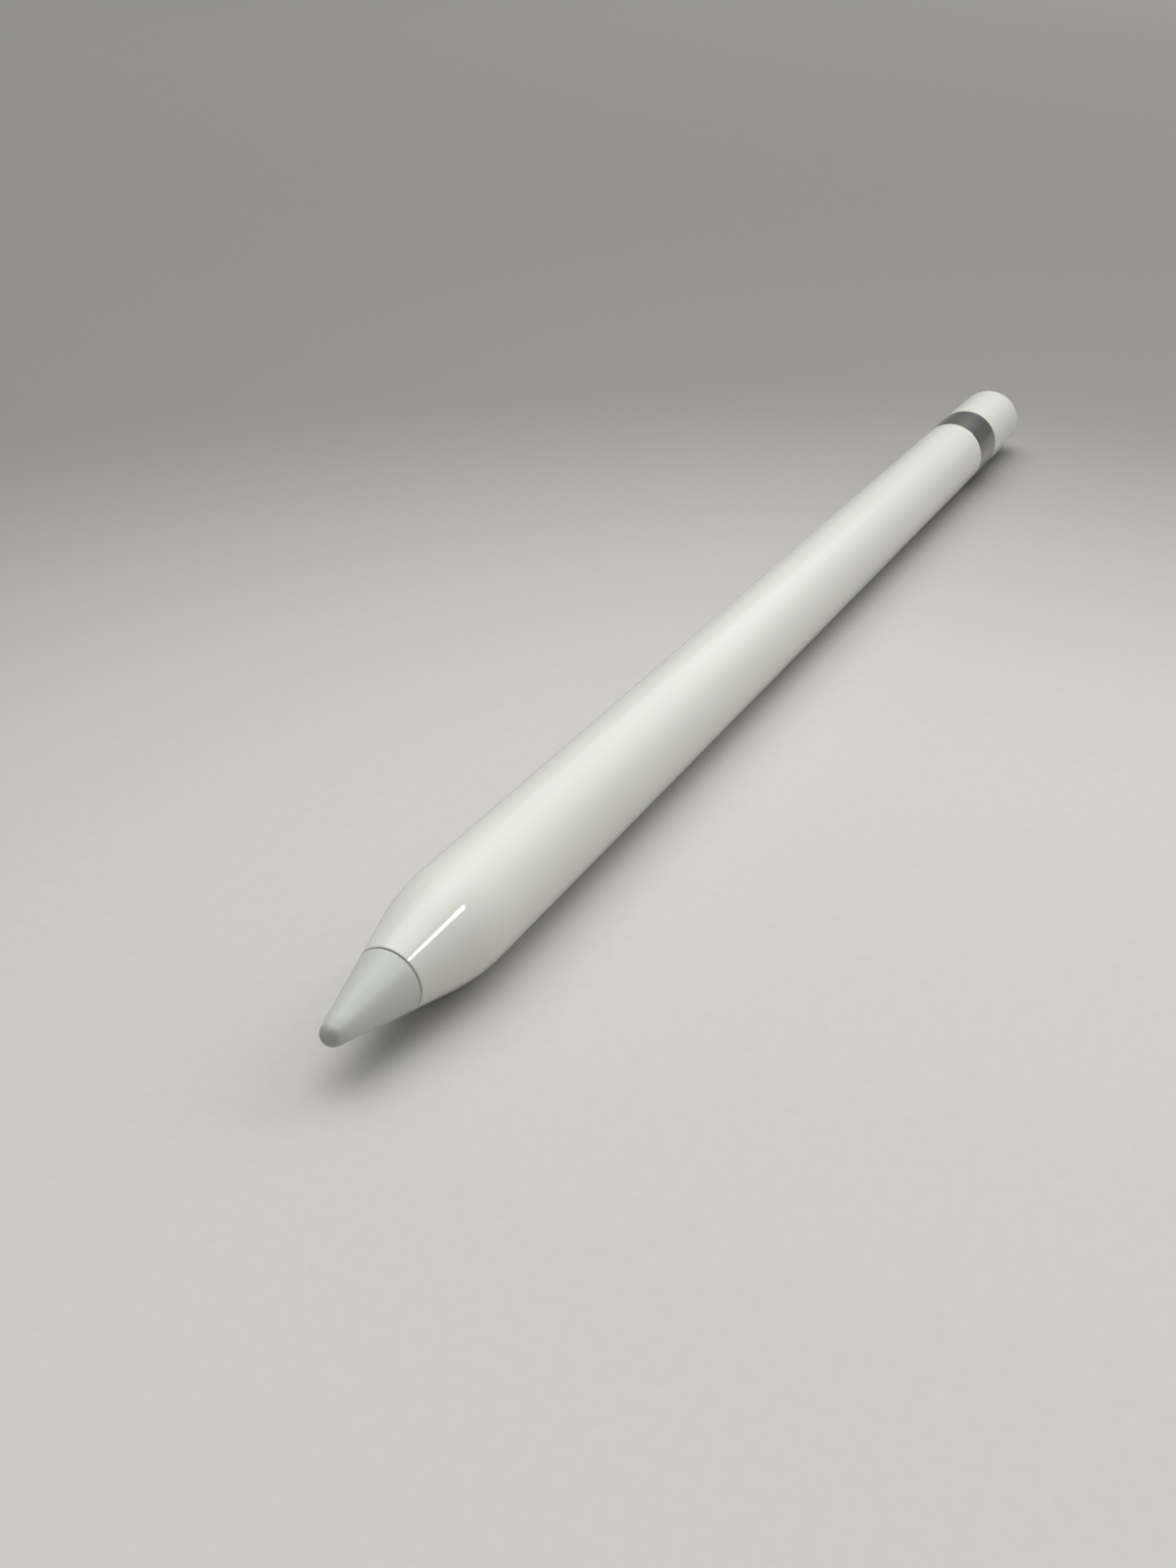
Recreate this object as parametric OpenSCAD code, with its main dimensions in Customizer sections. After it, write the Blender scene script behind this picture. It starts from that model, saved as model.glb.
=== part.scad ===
// Round active stylus with a screwed nib, a force-sensing front end and a charging plug under a magnetic cap.
// The pen lies along X with its nib at -X, and rests on the plane z = 0.

/* [Outside] */
// Overall length, from the end of the nib to the end of the cap
pen_len = 175.7; // [165:0.1:190]
// Diameter of the barrel, the trim ring and the cap
pen_d = 8.9; // [8.7:0.1:10.5]
// Length of the cap, from the trim ring to the end of its dome
cap_len = 16.9; // [15:0.1:20]
// Width of the metal trim ring
ring_w = 7.8; // [5.5:0.1:9]
// Length of the nib
nib_len = 7.6; // [7.5:0.1:9]
// Radius of the nib's rounded end
nib_end_r = 0.95; // [0.7:0.05:1.1]
// Half angle of the cone that the nib and the front of the barrel share, in degrees
taper_angle = 14.3; // [12.5:0.1:15]
// Radius of the long blend between the taper and the straight barrel
blend_r = 22; // [15:1:40]
// Edge break where two pieces meet on the outside
edge_break = 0.06; // [0.04:0.01:0.15]

/* [Barrel] */
// Wall of the straight barrel
barrel_wall = 0.9; // [0.7:0.05:1]
// Bore of the nose, around the sensor post
nose_bore_d = 3.4; // [3.3:0.05:3.6]
// Length of the straight bore in the nose
nose_land = 2; // [1.6:0.1:2.6]

/* [Nib screw] */
// Outer diameter of the thread on the sensor post
thread_d = 2; // [1.7:0.1:2.2]
// Length of the thread, which the nib unscrews over
thread_len = 2.8; // [2.4:0.1:3]
// Wall of the threaded insert in the nib
insert_wall = 0.35; // [0.25:0.05:0.4]
// Diameter of the electrode pin in the nib
electrode_d = 0.8; // [0.6:0.05:1]
// Depth of the electrode behind the end of the nib
electrode_depth = 1.6; // [1.2:0.1:2]
// Diameter of the electrode's contact head
electrode_head_d = 1.8; // [1.5:0.1:1.9]
// Thickness of the electrode's contact head
electrode_head_t = 0.5; // [0.3:0.05:0.6]
// Height of the drive pin above the end of the thread
pin_proud = 0.1; // [0.05:0.01:0.2]
// Room in front of the electrode's head in the insert
head_room = 0.2; // [0.1:0.05:0.3]

/* [Force sensor] */
// Diameter of the sensor post's stem
stem_d = 2.8; // [2.6:0.05:2.9]
// Travel of the nib under a full press
press_travel = 0.1; // [0.05:0.01:0.2]
// Diameter of the flange that presses on the first plate
flange_d = 3.8; // [3.4:0.1:4.2]
// Thickness of the flange
flange_t = 0.8; // [0.5:0.05:1.2]
// Diameter of the post's tail, which the plates guide
tail_d = 1.6; // [1.4:0.05:1.8]
// Diameter of the drive pin along the axis of the post
drive_pin_d = 0.7; // [0.5:0.05:0.8]
// Wall of the insulating sleeve around the drive pin
sleeve_wall = 0.16; // [0.12:0.02:0.2]
// Length of the tail behind the last plate, and of the drive pin behind the tail
tail_proud = 0.3; // [0.2:0.05:0.4]
// Number of flexure plates
plate_count = 3; // [2:1:4]
// Thickness of a flexure plate
plate_t = 0.25; // [0.15:0.05:0.4]
// Height of the spacer ring between two plates
spacer_t = 1.9; // [1.4:0.1:2.6]
// Number of rings of arc slots in a plate
slot_rings = 3; // [2:1:3]
// Number of arc slots in each ring
arms_per_plate = 3; // [2:1:3]
// Width of the arc slots that free the arms of a plate
arm_slot_w = 0.2; // [0.14:0.02:0.24]
// Angle that each arc slot spans, in degrees
arm_slot_span = 96; // [70:1:104]
// Length of a strain gauge
gauge_len = 0.5; // [0.3:0.05:0.5]
// Thickness of a strain gauge
gauge_t = 0.08; // [0.05:0.01:0.12]
// Wall of the sensor housing
housing_wall = 0.5; // [0.35:0.05:0.7]
// Width of the rim that clamps the plates
rim_w = 0.55; // [0.4:0.05:0.65]
// Thickness of the lip at the front of the sensor housing
lip_t = 0.5; // [0.4:0.05:0.8]
// Thickness of the ring that clamps the plates from behind
clamp_t = 1; // [0.8:0.1:1.6]
// Length of the seal around the stem
seal_len = 1; // [0.6:0.1:1.2]
// Wall of the conical tilt emitter
emitter_wall = 0.15; // [0.1:0.01:0.2]

/* [Electronics] */
// Wall of the chassis tube
tube_wall = 0.25; // [0.2:0.01:0.35]
// Length of the oblong windows in the chassis tube
tube_window_len = 8; // [5:0.5:10]
// Width of the oblong windows in the chassis tube
tube_window_w = 2; // [1:0.1:2.4]
// Number of windows along each side of the chassis tube
tube_windows = 7; // [3:1:8]
// Length of the two boards
board_len = 44; // [38:0.5:50]
// Thickness of a board
board_t = 0.5; // [0.4:0.05:0.6]
// Space between the two boards
board_gap = 1.8; // [1.6:0.05:2.1]
// Thickness of the flexible circuits
flex_t = 0.12; // [0.08:0.01:0.16]
// Length of a flexible circuit's end on a board
flex_tail = 3; // [2:0.5:4]
// Width of the flexible circuit from the sensor, and of the plug circuit's connector
front_flex_w = 2; // [1.4:0.1:2.4]
// Angle of the round chassis that the plug's flexible circuit covers, in degrees
flex_angle = 46; // [42:2:60]
// Length of the connector on the second board
connector_len = 3; // [2:0.5:3]
// Width of the folded circuit that joins the boards
fold_w = 4; // [2.5:0.1:4.6]
// Start of the shield can behind the front of the board
can_start = 8; // [5:0.5:8]
// Room in front of and behind the chip under the shield can
can_room = 2; // [1:0.5:4]
// Length of the shield can
can_len = 16; // [12:0.5:22]
// Height of the shield can
can_h = 0.8; // [0.6:0.05:1]
// Wall of the shield can
can_wall = 0.15; // [0.1:0.01:0.2]
// Room around the battery cell, which the flexible circuit passes through
battery_room = 0.33; // [0.3:0.01:0.45]
// Radius of the battery cell's rounded edges
battery_edge = 0.5; // [0.2:0.05:0.9]
// Thickness of the foam pads at the ends of the battery cell
pad_t = 0.8; // [0.5:0.05:1.5]
// Width of a battery tab
tab_w = 1.4; // [0.8:0.1:1.6]
// Length of the balance weight
weight_len = 12; // [8:0.5:16]
// Height of the balance weight's flat above the middle of the pen, negative being below it
weight_flat = -0.8; // [-1.6:0.1:-0.4]
// Length of the antenna section
antenna_len = 20; // [16:0.5:26]
// Wall of the antenna's core
core_wall = 0.2; // [0.16:0.01:0.24]
// Angle that the antenna wraps around its core, in degrees
antenna_wrap = 240; // [160:5:300]

/* [Plug] */
// Width of the charging plug
plug_w = 6.7; // [6.5:0.05:6.8]
// Thickness of the charging plug
plug_t = 1.5; // [1.4:0.05:1.6]
// Length of the charging plug that stands out of the trim ring
plug_len = 7.7; // [7:0.1:8.4]
// Length of the charging plug inside the carrier
plug_root = 4.2; // [3.2:0.1:4.6]
// Corner radius at the end of the plug
plug_corner = 1.2; // [0.6:0.1:1.6]
// Number of contacts on each face of the plug
contact_count = 8; // [4:1:8]
// Distance between two contacts
contact_pitch = 0.62; // [0.56:0.01:0.64]
// Width of a contact
contact_w = 0.42; // [0.3:0.02:0.48]
// Length of a contact
contact_len = 2.2; // [1.6:0.1:2.6]
// Thickness of a contact
contact_t = 0.15; // [0.1:0.01:0.2]
// Insulator around the row of contacts
window_margin = 0.2; // [0.14:0.02:0.24]
// Distance from the end of the plug to the insulator
window_end = 1.7; // [1.3:0.1:2]
// Metal around the insulator's tail inside the plug
tail_margin = 0.4; // [0.3:0.02:0.5]
// Depth of the latch notches in the plug's edges
notch_depth = 0.3; // [0.2:0.02:0.36]
// Wall of the trim ring around the plug carrier
ring_wall = 0.75; // [0.6:0.05:0.8]
// Length of the ring's spigot in the barrel
spigot_len = 5; // [3:0.1:8]
// Wall of the spigot
spigot_wall = 0.4; // [0.3:0.05:0.6]
// Thickness of the flange inside the trim ring
ring_step_t = 1.2; // [0.8:0.1:1.2]
// Thickness of the steel keeper plates
keeper_t = 0.6; // [0.4:0.05:0.9]
// Rim outside the keeper plates and the magnets
keeper_rim = 0.3; // [0.2:0.05:0.4]
// Step of the carrier below the ring's edge, and of the liner below the cap's
carrier_back = 0.1; // [0.05:0.01:0.2]

/* [Cap] */
// Wall of the cap
cap_wall = 0.6; // [0.5:0.02:0.64]
// Room between the end of the plug and the liner's floor
slot_room = 0.5; // [0.3:0.05:0.8]
// Thickness of the liner's floor behind the plug
liner_floor = 1; // [0.6:0.1:1.6]
// Thickness of the magnets
magnet_t = 2; // [1.2:0.1:3]
// Web between the magnets and the plug's slot
magnet_web = 0.35; // [0.25:0.05:0.6]

/* [Clearances] */
// Gap left between the nib and the barrel at full press
nose_clear = 0.1; // [0.06:0.01:0.3]
// Radial clearance of the nib insert on the thread
thread_clear = 0.05; // [0.03:0.01:0.08]
// Radial clearance of the stem and the tail in their guides
slide_clear = 0.05; // [0.03:0.01:0.08]
// Radial clearance of the insert in the nib
insert_clear = 0.03; // [0.02:0.01:0.05]
// Radial clearance of a piece glued into the barrel
glue_clear = 0.05; // [0.03:0.01:0.08]
// Clearance of small pieces in their seats
seat_clear = 0.02; // [0.01:0.005:0.03]
// Clearance of the plug in the cap's slot
slot_clear = 0.15; // [0.1:0.01:0.18]
// Axial gap between neighbouring units in the barrel
unit_gap = 0.4; // [0.2:0.05:0.8]
// Clearance of the boards in the chassis tube
board_clear = 0.1; // [0.06:0.01:0.16]
// Spare room behind the flange at full press
press_spare = 0.05; // [0.03:0.01:0.1]

/* [Hidden] */
$fn = 72;

// Overshoot of a cutting shape past the face that it opens
cut = 1;

// Taper that the nib and the barrel share: radius r at station t, measured from the end of the nib
pen_r = pen_d / 2;
slope = tan(taper_angle);
round_t = nib_end_r * (1 - sin(taper_angle));
round_r = nib_end_r * cos(taper_angle);
corner_t = round_t + (pen_r - round_r) / slope;
function cone_r(t) = round_r + (t - round_t) * slope;

// Blend from the taper into the straight barrel
blend_len = blend_r * tan(taper_angle / 2);
blend_t0 = corner_t - blend_len * cos(taper_angle);
blend_t1 = corner_t + blend_len;

// Main stations along the pen
nose_t = nib_len + press_travel + nose_clear;
land_t = nose_t + nose_land;
bore_t = corner_t + blend_len / 2;
cap_t = pen_len - cap_len;
ring_t = cap_t - ring_w;
dome_t = pen_len - pen_r;

// Bores of the barrel
bore_r = pen_r - barrel_wall;
nose_r = nose_bore_d / 2;
bore_slope = (bore_r - nose_r) / (bore_t - land_t);
function inner_r(t) = nose_r + (t - land_t) * bore_slope;

// Nib screw
thread_r = thread_d / 2;
thread_t = nib_len - thread_len;
insert_bore_r = thread_r + thread_clear;
insert_r = insert_bore_r + insert_wall;
head_t1 = thread_t - pin_proud;
head_t0 = head_t1 - electrode_head_t;
insert_t = head_t0 - head_room;

// Force sensor
stem_r = stem_d / 2;
tail_r = tail_d / 2;
pin_r = drive_pin_d / 2;
sleeve_r = pin_r + seat_clear + sleeve_wall;
glued_r = bore_r - glue_clear;
housing_r = glued_r - housing_wall;
plate_r = housing_r - seat_clear;
rim_r = plate_r - rim_w;
plate_pitch = plate_t + spacer_t;
sensor_t = bore_t + unit_gap;
plate_t0 = sensor_t + lip_t;
plates_t1 = plate_t0 + plate_count * plate_t + (plate_count - 1) * spacer_t;
sensor_t1 = plates_t1 + clamp_t;
press_room = press_travel + press_spare;
flange_t1 = plate_t0 - press_room;
flange_t0 = flange_t1 - flange_t;
flange_mid = flange_t1 - flange_t / 2;
tail_t = plates_t1 + tail_proud;
pin_t1 = tail_t + tail_proud;
hub_r = tail_r + slide_clear;
slot_r0 = hub_r + 2 * arm_slot_w;
slot_pitch = (rim_r - arm_slot_w - slot_r0) / (slot_rings - 1);
gauge_w = 0.8 * (slot_pitch - arm_slot_w);
seal_t = nose_t + (nose_land - seal_len) / 2;

// Chassis tube and boards
tube_r = bore_r - glue_clear;
tube_bore_r = tube_r - tube_wall;
free_r = tube_bore_r - board_clear;
tube_t = sensor_t1 + unit_gap;
board_t0 = tube_t + unit_gap;
board_t1 = board_t0 + board_len;
board_in = board_gap / 2;
board_out = board_in + board_t;
function chord(x) = 2 * sqrt(free_r * free_r - x * x);
board_w = chord(board_out);
fold_r = board_in + board_t / 2;
can_t = board_t0 + can_start;
can_w = chord(board_out + can_h);

// Rear end of the barrel
spigot_t = ring_t - spigot_len;
spigot_bore_r = glued_r - spigot_wall;
antenna_t1 = spigot_t;
antenna_t0 = antenna_t1 - antenna_len;
tube_t1 = antenna_t0;
weight_t1 = tube_t1 - unit_gap;
weight_t = weight_t1 - weight_len;
flex_r = free_r - seat_clear;

// Battery cell, which fills the length between the boards and the weight
battery_r = tube_bore_r - battery_room;
battery_t = board_t1 + fold_r + flex_t + unit_gap + pad_t;
battery_t1 = weight_t - pad_t;
tab_y = fold_w / 4 + tab_w / 4;
connector_t = board_t1 - 2 * connector_len;
connector_x = sqrt(pow(flex_r - flex_t - seat_clear, 2) - pow(front_flex_w / 2, 2));

// Antenna
antenna_core_r = (tube_bore_r + tube_r) / 2;
antenna_r = antenna_core_r + seat_clear;

// Plug and carrier
carrier_r = pen_r - ring_wall - seat_clear;
ring_bore_r = pen_r - ring_wall;
carrier_neck_r = spigot_bore_r - seat_clear;
step_t = ring_t + ring_step_t;
carrier_t1 = cap_t - carrier_back;
plug_t0 = cap_t - plug_root;
plug_t1 = cap_t + plug_len;
contact_row = (contact_count - 1) * contact_pitch + contact_w;
window_w = contact_row + 2 * window_margin;
window_len = contact_len + 2 * window_margin;
window_t = plug_t1 - window_end - window_len;
tail_w = window_w - 2 * tail_margin;
tail_h = plug_t - 2 * tail_margin;
keeper_x = plug_t / 2 + slot_clear + magnet_web;

// Cap
cap_bore_r = pen_r - cap_wall;
liner_r = cap_bore_r - seat_clear;
liner_t = cap_t + carrier_back;
slot_depth = plug_len + slot_room;
liner_t1 = cap_t + slot_depth + liner_floor;
magnet_r = liner_r - keeper_rim;

// Chips on the boards: board side, face, start from the board's front, length, width, height
chips = [
    [1, -1, 5, 7, 4, 0.6],
    [1, -1, 15, 5, 3.4, 0.5],
    [1, -1, 23, 9, 4.2, 0.6],
    [1, 1, 31, 3.2, 2, 0.8],
    [-1, -1, 8, 4, 3, 0.5],
    [-1, -1, 16, 6, 3.6, 0.5],
    [-1, -1, 28, 5, 3, 0.5],
    [-1, 1, 6, 6, 3.2, 0.7],
    [-1, 1, 16, 3, 2.4, 0.6],
    [-1, 1, 24, 8, 3.4, 0.7]
];

// Lays a piece that is built upright, nib down, along the X axis on the plane z = 0
module along_pen() {
    translate([-pen_len / 2, 0, pen_r])
        rotate([0, 90, 0])
            children();
}

// Round solid between two stations
module rod(r, t0, t1) {
    translate([0, 0, t0])
        cylinder(r = r, h = t1 - t0);
}

// Conical solid between two stations
module cone(r0, r1, t0, t1) {
    translate([0, 0, t0])
        cylinder(r1 = r0, r2 = r1, h = t1 - t0);
}

// Round tube between two stations
module tube(r_in, r_out, t0, t1) {
    difference() {
        rod(r_out, t0, t1);
        rod(r_in, t0 - cut, t1 + cut);
    }
}

// Part of a tube, centred on the given angle
module arc_strip(r_in, r_out, middle, span, t0, t1) {
    translate([0, 0, t0])
        rotate(middle - span / 2)
            rotate_extrude(angle = span)
                translate([r_in, 0])
                    square([r_out - r_in, t1 - t0]);
}

// Block between two stations, from x0 to x1 and centred across the pen at y
module block(x0, x1, y, w, t0, t1) {
    translate([x0, y - w / 2, t0])
        cube([x1 - x0, w, t1 - t0]);
}

// Flat outline with round ends, wide along y
module stadium(thick, wide) {
    square([thick, wide - thick], center = true);
    for (side = [-1, 1])
        translate([0, side * (wide - thick) / 2])
            circle(d = thick);
}

// Flat outline with round corners
module round_rect(w, h, r) {
    square([w - 2 * r, h], center = true);
    square([w, h - 2 * r], center = true);
    for (x = [-1, 1], y = [-1, 1])
        translate([x * (w / 2 - r), y * (h / 2 - r)])
            circle(r = r);
}

// Two D-shaped plates, above and below the plug
module d_pair(r, flat, t0, t1) {
    for (side = [-1, 1])
        intersection() {
            rod(r, t0, t1);
            translate([side * (flat + r), 0, (t0 + t1) / 2])
                cube([2 * r, 3 * r, t1 - t0 + 2 * cut], center = true);
        }
}

// Screwed nib: a cone with a rounded end
module nib() {
    color("whitesmoke")
        along_pen()
            difference() {
                rotate_extrude() {
                    polygon([
                        [0, round_t],
                        [round_r, round_t],
                        [cone_r(nib_len - edge_break), nib_len - edge_break],
                        [cone_r(nib_len) - edge_break, nib_len],
                        [0, nib_len]
                    ]);
                    intersection() {
                        translate([0, nib_end_r])
                            circle(r = nib_end_r);
                        square([nib_end_r, round_t]);
                    }
                }
                rod(electrode_d / 2 + seat_clear, electrode_depth, insert_t + cut);
                rod(insert_r + insert_clear, insert_t, nib_len + cut);
            }
}

// Threaded bush moulded into the nib
module nib_insert() {
    color("silver")
        along_pen()
            tube(insert_bore_r, insert_r, insert_t, nib_len);
}

// Electrode that carries the signal to the end of the nib
module tip_electrode() {
    color("goldenrod")
        along_pen() {
            rod(electrode_d / 2, electrode_depth, head_t1);
            rod(electrode_head_d / 2, head_t0, head_t1);
        }
}

// Stud, stem, flange and tail of the part that the nib screws on
module sensor_post() {
    color("gray")
        along_pen()
            difference() {
                union() {
                    rod(thread_r, thread_t, flange_t0);
                    rod(stem_r, nib_len, flange_mid);
                    rod(flange_d / 2, flange_t0, flange_t1);
                    rod(tail_r, flange_mid, tail_t);
                }
                rod(sleeve_r + seat_clear, thread_t - cut, tail_t + cut);
            }
}

// Insulator between the post and the drive pin
module post_sleeve() {
    color("ivory")
        along_pen()
            tube(pin_r + seat_clear, sleeve_r, thread_t, tail_t);
}

// Pin that carries the tip signal through the post
module drive_pin() {
    color("gold")
        along_pen()
            rod(pin_r, head_t1, pin_t1);
}

// Soft ring that keeps dirt out of the nose
module post_seal() {
    color("dimgray")
        along_pen()
            tube(stem_r + slide_clear, nose_r - seat_clear, seal_t, seal_t + seal_len);
}

// Conical electrode behind the nose, which tells the tilt of the pen
module tilt_emitter() {
    t0 = land_t + unit_gap;
    t1 = bore_t - unit_gap;
    color("orange")
        along_pen()
            difference() {
                cone(inner_r(t0) - glue_clear, inner_r(t1) - glue_clear, t0, t1);
                cone(
                    inner_r(t0 - cut) - glue_clear - emitter_wall,
                    inner_r(t1 + cut) - glue_clear - emitter_wall,
                    t0 - cut,
                    t1 + cut
                );
            }
}

// Cup that holds the flexure plates
module sensor_housing() {
    color("darkgray")
        along_pen()
            difference() {
                rod(glued_r, sensor_t, sensor_t1);
                rod(rim_r, sensor_t - cut, sensor_t1 + cut);
                rod(housing_r, plate_t0, sensor_t1 + cut);
            }
}

// Arc slot with round ends, cut through a flexure plate
module arm_slot(r, middle, t0) {
    arc_strip(r - arm_slot_w / 2, r + arm_slot_w / 2, middle, arm_slot_span, t0 - cut, t0 + plate_t + cut);
    for (side = [-1, 1])
        rotate(middle + side * arm_slot_span / 2)
            translate([r, 0, 0])
                rod(arm_slot_w / 2, t0 - cut, t0 + plate_t + cut);
}

// Plate whose hub is carried by arms between rings of staggered arc slots
module flexure_plate(t0) {
    difference() {
        rod(plate_r, t0, t0 + plate_t);
        rod(hub_r, t0 - cut, t0 + plate_t + cut);
        for (i = [0 : arms_per_plate - 1], ring = [0 : slot_rings - 1])
            arm_slot(slot_r0 + ring * slot_pitch, (i + ring / 2) * 360 / arms_per_plate, t0);
    }
}

// Stack of plates that bend when the nib is pressed
module flexure_plates() {
    color("lightsteelblue")
        along_pen()
            for (i = [0 : plate_count - 1])
                flexure_plate(plate_t0 + i * plate_pitch);
}

// Rings between the plates
module plate_spacers() {
    color("slategray")
        along_pen()
            for (i = [0 : plate_count - 2])
                tube(rim_r, plate_r, plate_t0 + i * plate_pitch + plate_t, plate_t0 + (i + 1) * plate_pitch);
}

// Ring that clamps the plates into the housing
module sensor_clamp() {
    color("slategray")
        along_pen()
            tube(rim_r, plate_r, plates_t1, sensor_t1);
}

// Strain gauges on the arms of the middle plate
module strain_gauges() {
    t0 = plate_t0 + plate_pitch + plate_t + seat_clear;
    color("peru")
        along_pen()
            for (i = [0 : arms_per_plate - 1])
                rotate((i + 0.25) * 360 / arms_per_plate)
                    translate([slot_r0 + slot_pitch / 2, 0, t0 + gauge_t / 2])
                        cube([gauge_w, gauge_len, gauge_t], center = true);
}

// Flexible circuit from the sensor to the main board
module front_flex() {
    color("darkorange")
        along_pen()
            block(board_in - flex_t, board_in, 0, front_flex_w, pin_t1 + press_room, board_t0 + flex_tail);
}

// Outer profile of the barrel, with its blend as a true arc
module barrel_profile() {
    polygon([
        [0, nose_t],
        [cone_r(nose_t) - edge_break, nose_t],
        [cone_r(nose_t + edge_break), nose_t + edge_break],
        [cone_r(blend_t0), blend_t0],
        [pen_r, blend_t1],
        [pen_r, ring_t - edge_break],
        [pen_r - edge_break, ring_t],
        [0, ring_t]
    ]);
    intersection() {
        translate([pen_r - blend_r, blend_t1])
            circle(r = blend_r, $fn = 720);
        polygon([
            [cone_r(blend_t0), blend_t0],
            [pen_r, corner_t],
            [pen_r, blend_t1]
        ]);
    }
}

// Outer tube: taper, blend and straight barrel
module barrel() {
    color("white")
        along_pen()
            difference() {
                rotate_extrude()
                    barrel_profile();
                rotate_extrude()
                    polygon([
                        [0, nose_t - cut],
                        [nose_r, nose_t - cut],
                        [nose_r, land_t],
                        [bore_r, bore_t],
                        [bore_r, ring_t + cut],
                        [0, ring_t + cut]
                    ]);
            }
}

// Oblong window through one side of the chassis tube
module tube_window(t0) {
    translate([0, 0, t0 + tube_window_len / 2])
        rotate([90, 0, 0])
            linear_extrude(height = pen_d)
                stadium(tube_window_w, tube_window_len);
}

// Metal tube that carries the boards, the battery cell and the weight
module chassis_tube() {
    pitch = (tube_t1 - tube_t) / tube_windows;
    color("lightgray")
        along_pen()
            difference() {
                tube(tube_bore_r, tube_r, tube_t, tube_t1);
                for (i = [0 : tube_windows - 1], side = [0, 180])
                    rotate(side)
                        tube_window(tube_t + (i + 0.5) * pitch - tube_window_len / 2);
            }
}

// Board that carries the processor and the shield can
module main_board() {
    color("darkgreen")
        along_pen()
            block(board_in, board_out, 0, board_w, board_t0, board_t1);
}

// Board that carries the radio and the charger
module second_board() {
    color("darkgreen")
        along_pen()
            block(-board_out, -board_in, 0, board_w, board_t0, board_t1);
}

// Folded circuit that joins the ends of the two boards
module fold_flex() {
    color("darkorange")
        along_pen()
            translate([0, 0, board_t1])
                rotate([90, 0, 0])
                    linear_extrude(height = fold_w, center = true)
                        difference() {
                            circle(r = fold_r + flex_t / 2);
                            circle(r = fold_r - flex_t / 2);
                            translate([-2 * fold_r, -4 * fold_r])
                                square(4 * fold_r);
                        }
}

// Chip on a board: side picks the board, face is 1 outwards or -1 inwards
module chip(side, face, start, length, width, height) {
    base = face > 0 ? board_out : board_in;
    mirror([side > 0 ? 0 : 1, 0, 0])
        block(min(base, base + face * height), max(base, base + face * height), 0, width,
            board_t0 + start, board_t0 + start + length);
}

// Chips, with the connector that takes the flexible circuit from the plug
module board_chips() {
    color("black")
        along_pen() {
            for (c = chips)
                chip(c[0], c[1], c[2], c[3], c[4], c[5]);
            block(-connector_x, -board_out, 0, front_flex_w, connector_t, connector_t + connector_len);
            chip(1, 1, can_start + can_room, can_len - 2 * can_room, can_w / 2, can_h / 2);
        }
}

// Metal can over the chips on the main board, open towards the board
module shield_can() {
    color("silver")
        along_pen()
            difference() {
                block(board_out, board_out + can_h, 0, can_w, can_t, can_t + can_len);
                block(board_out - cut, board_out + can_h - can_wall, 0, can_w - 2 * can_wall,
                    can_t + can_wall, can_t + can_len - can_wall);
            }
}

// Battery cell with rounded edges
module battery_cell() {
    color("steelblue")
        along_pen()
            rotate_extrude() {
                translate([0, battery_t])
                    square([battery_r - battery_edge, battery_t1 - battery_t]);
                translate([0, battery_t + battery_edge])
                    square([battery_r, battery_t1 - battery_t - 2 * battery_edge]);
                for (t = [battery_t + battery_edge, battery_t1 - battery_edge])
                    translate([battery_r - battery_edge, t])
                        circle(r = battery_edge);
            }
}

// Foam pads at both ends of the battery cell, the front one cut away for the tabs
module battery_pads() {
    pad_r = battery_r - battery_edge;
    color("darkslategray")
        along_pen() {
            difference() {
                rod(pad_r, battery_t - pad_t, battery_t);
                translate([-board_out + seat_clear - 2 * pad_r, -pad_r, battery_t - pad_t - cut])
                    cube([2 * pad_r, 2 * pad_r, pad_t + 2 * cut]);
            }
            rod(pad_r, battery_t1, battery_t1 + pad_t);
        }
}

// Welded strips from the battery cell to the second board
module battery_tabs() {
    color("silver")
        along_pen()
            for (side = [-1, 1])
                block(-board_out - flex_t, -board_out, side * tab_y, tab_w,
                    board_t1 - flex_tail / 2, battery_t);
}

// Half-round weight below the axis, which keeps the pen from rolling
module balance_weight() {
    color("dimgray")
        along_pen()
            intersection() {
                rod(free_r, weight_t, weight_t1);
                block(-weight_flat, 2 * pen_r, 0, 2 * pen_d, weight_t - cut, weight_t1 + cut);
            }
}

// Plastic sleeve between the chassis tube and the trim ring
module antenna_core() {
    color("white")
        along_pen()
            tube(antenna_core_r - core_wall, antenna_core_r,
                antenna_t0 + seat_clear, antenna_t1 - seat_clear);
}

// Antenna foil around its core
module antenna() {
    color("goldenrod")
        along_pen()
            arc_strip(antenna_r, antenna_r + flex_t / 2, 180, antenna_wrap,
                antenna_t0 + unit_gap, antenna_t1 - unit_gap);
}

// Flexible circuit from the plug to the boards, along the top of the chassis tube
module plug_flex() {
    color("darkorange")
        along_pen()
            arc_strip(flex_r - flex_t, flex_r, 180, flex_angle, connector_t, spigot_t - seat_clear);
}

// Metal band with a spigot that is glued into the barrel
module trim_ring() {
    color("dimgray")
        along_pen()
            rotate_extrude()
                polygon([
                    [spigot_bore_r, spigot_t],
                    [glued_r, spigot_t],
                    [glued_r, ring_t],
                    [pen_r - edge_break, ring_t],
                    [pen_r, ring_t + edge_break],
                    [pen_r, cap_t - edge_break],
                    [pen_r - edge_break, cap_t],
                    [ring_bore_r, cap_t],
                    [ring_bore_r, step_t],
                    [spigot_bore_r, step_t]
                ]);
}

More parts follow.
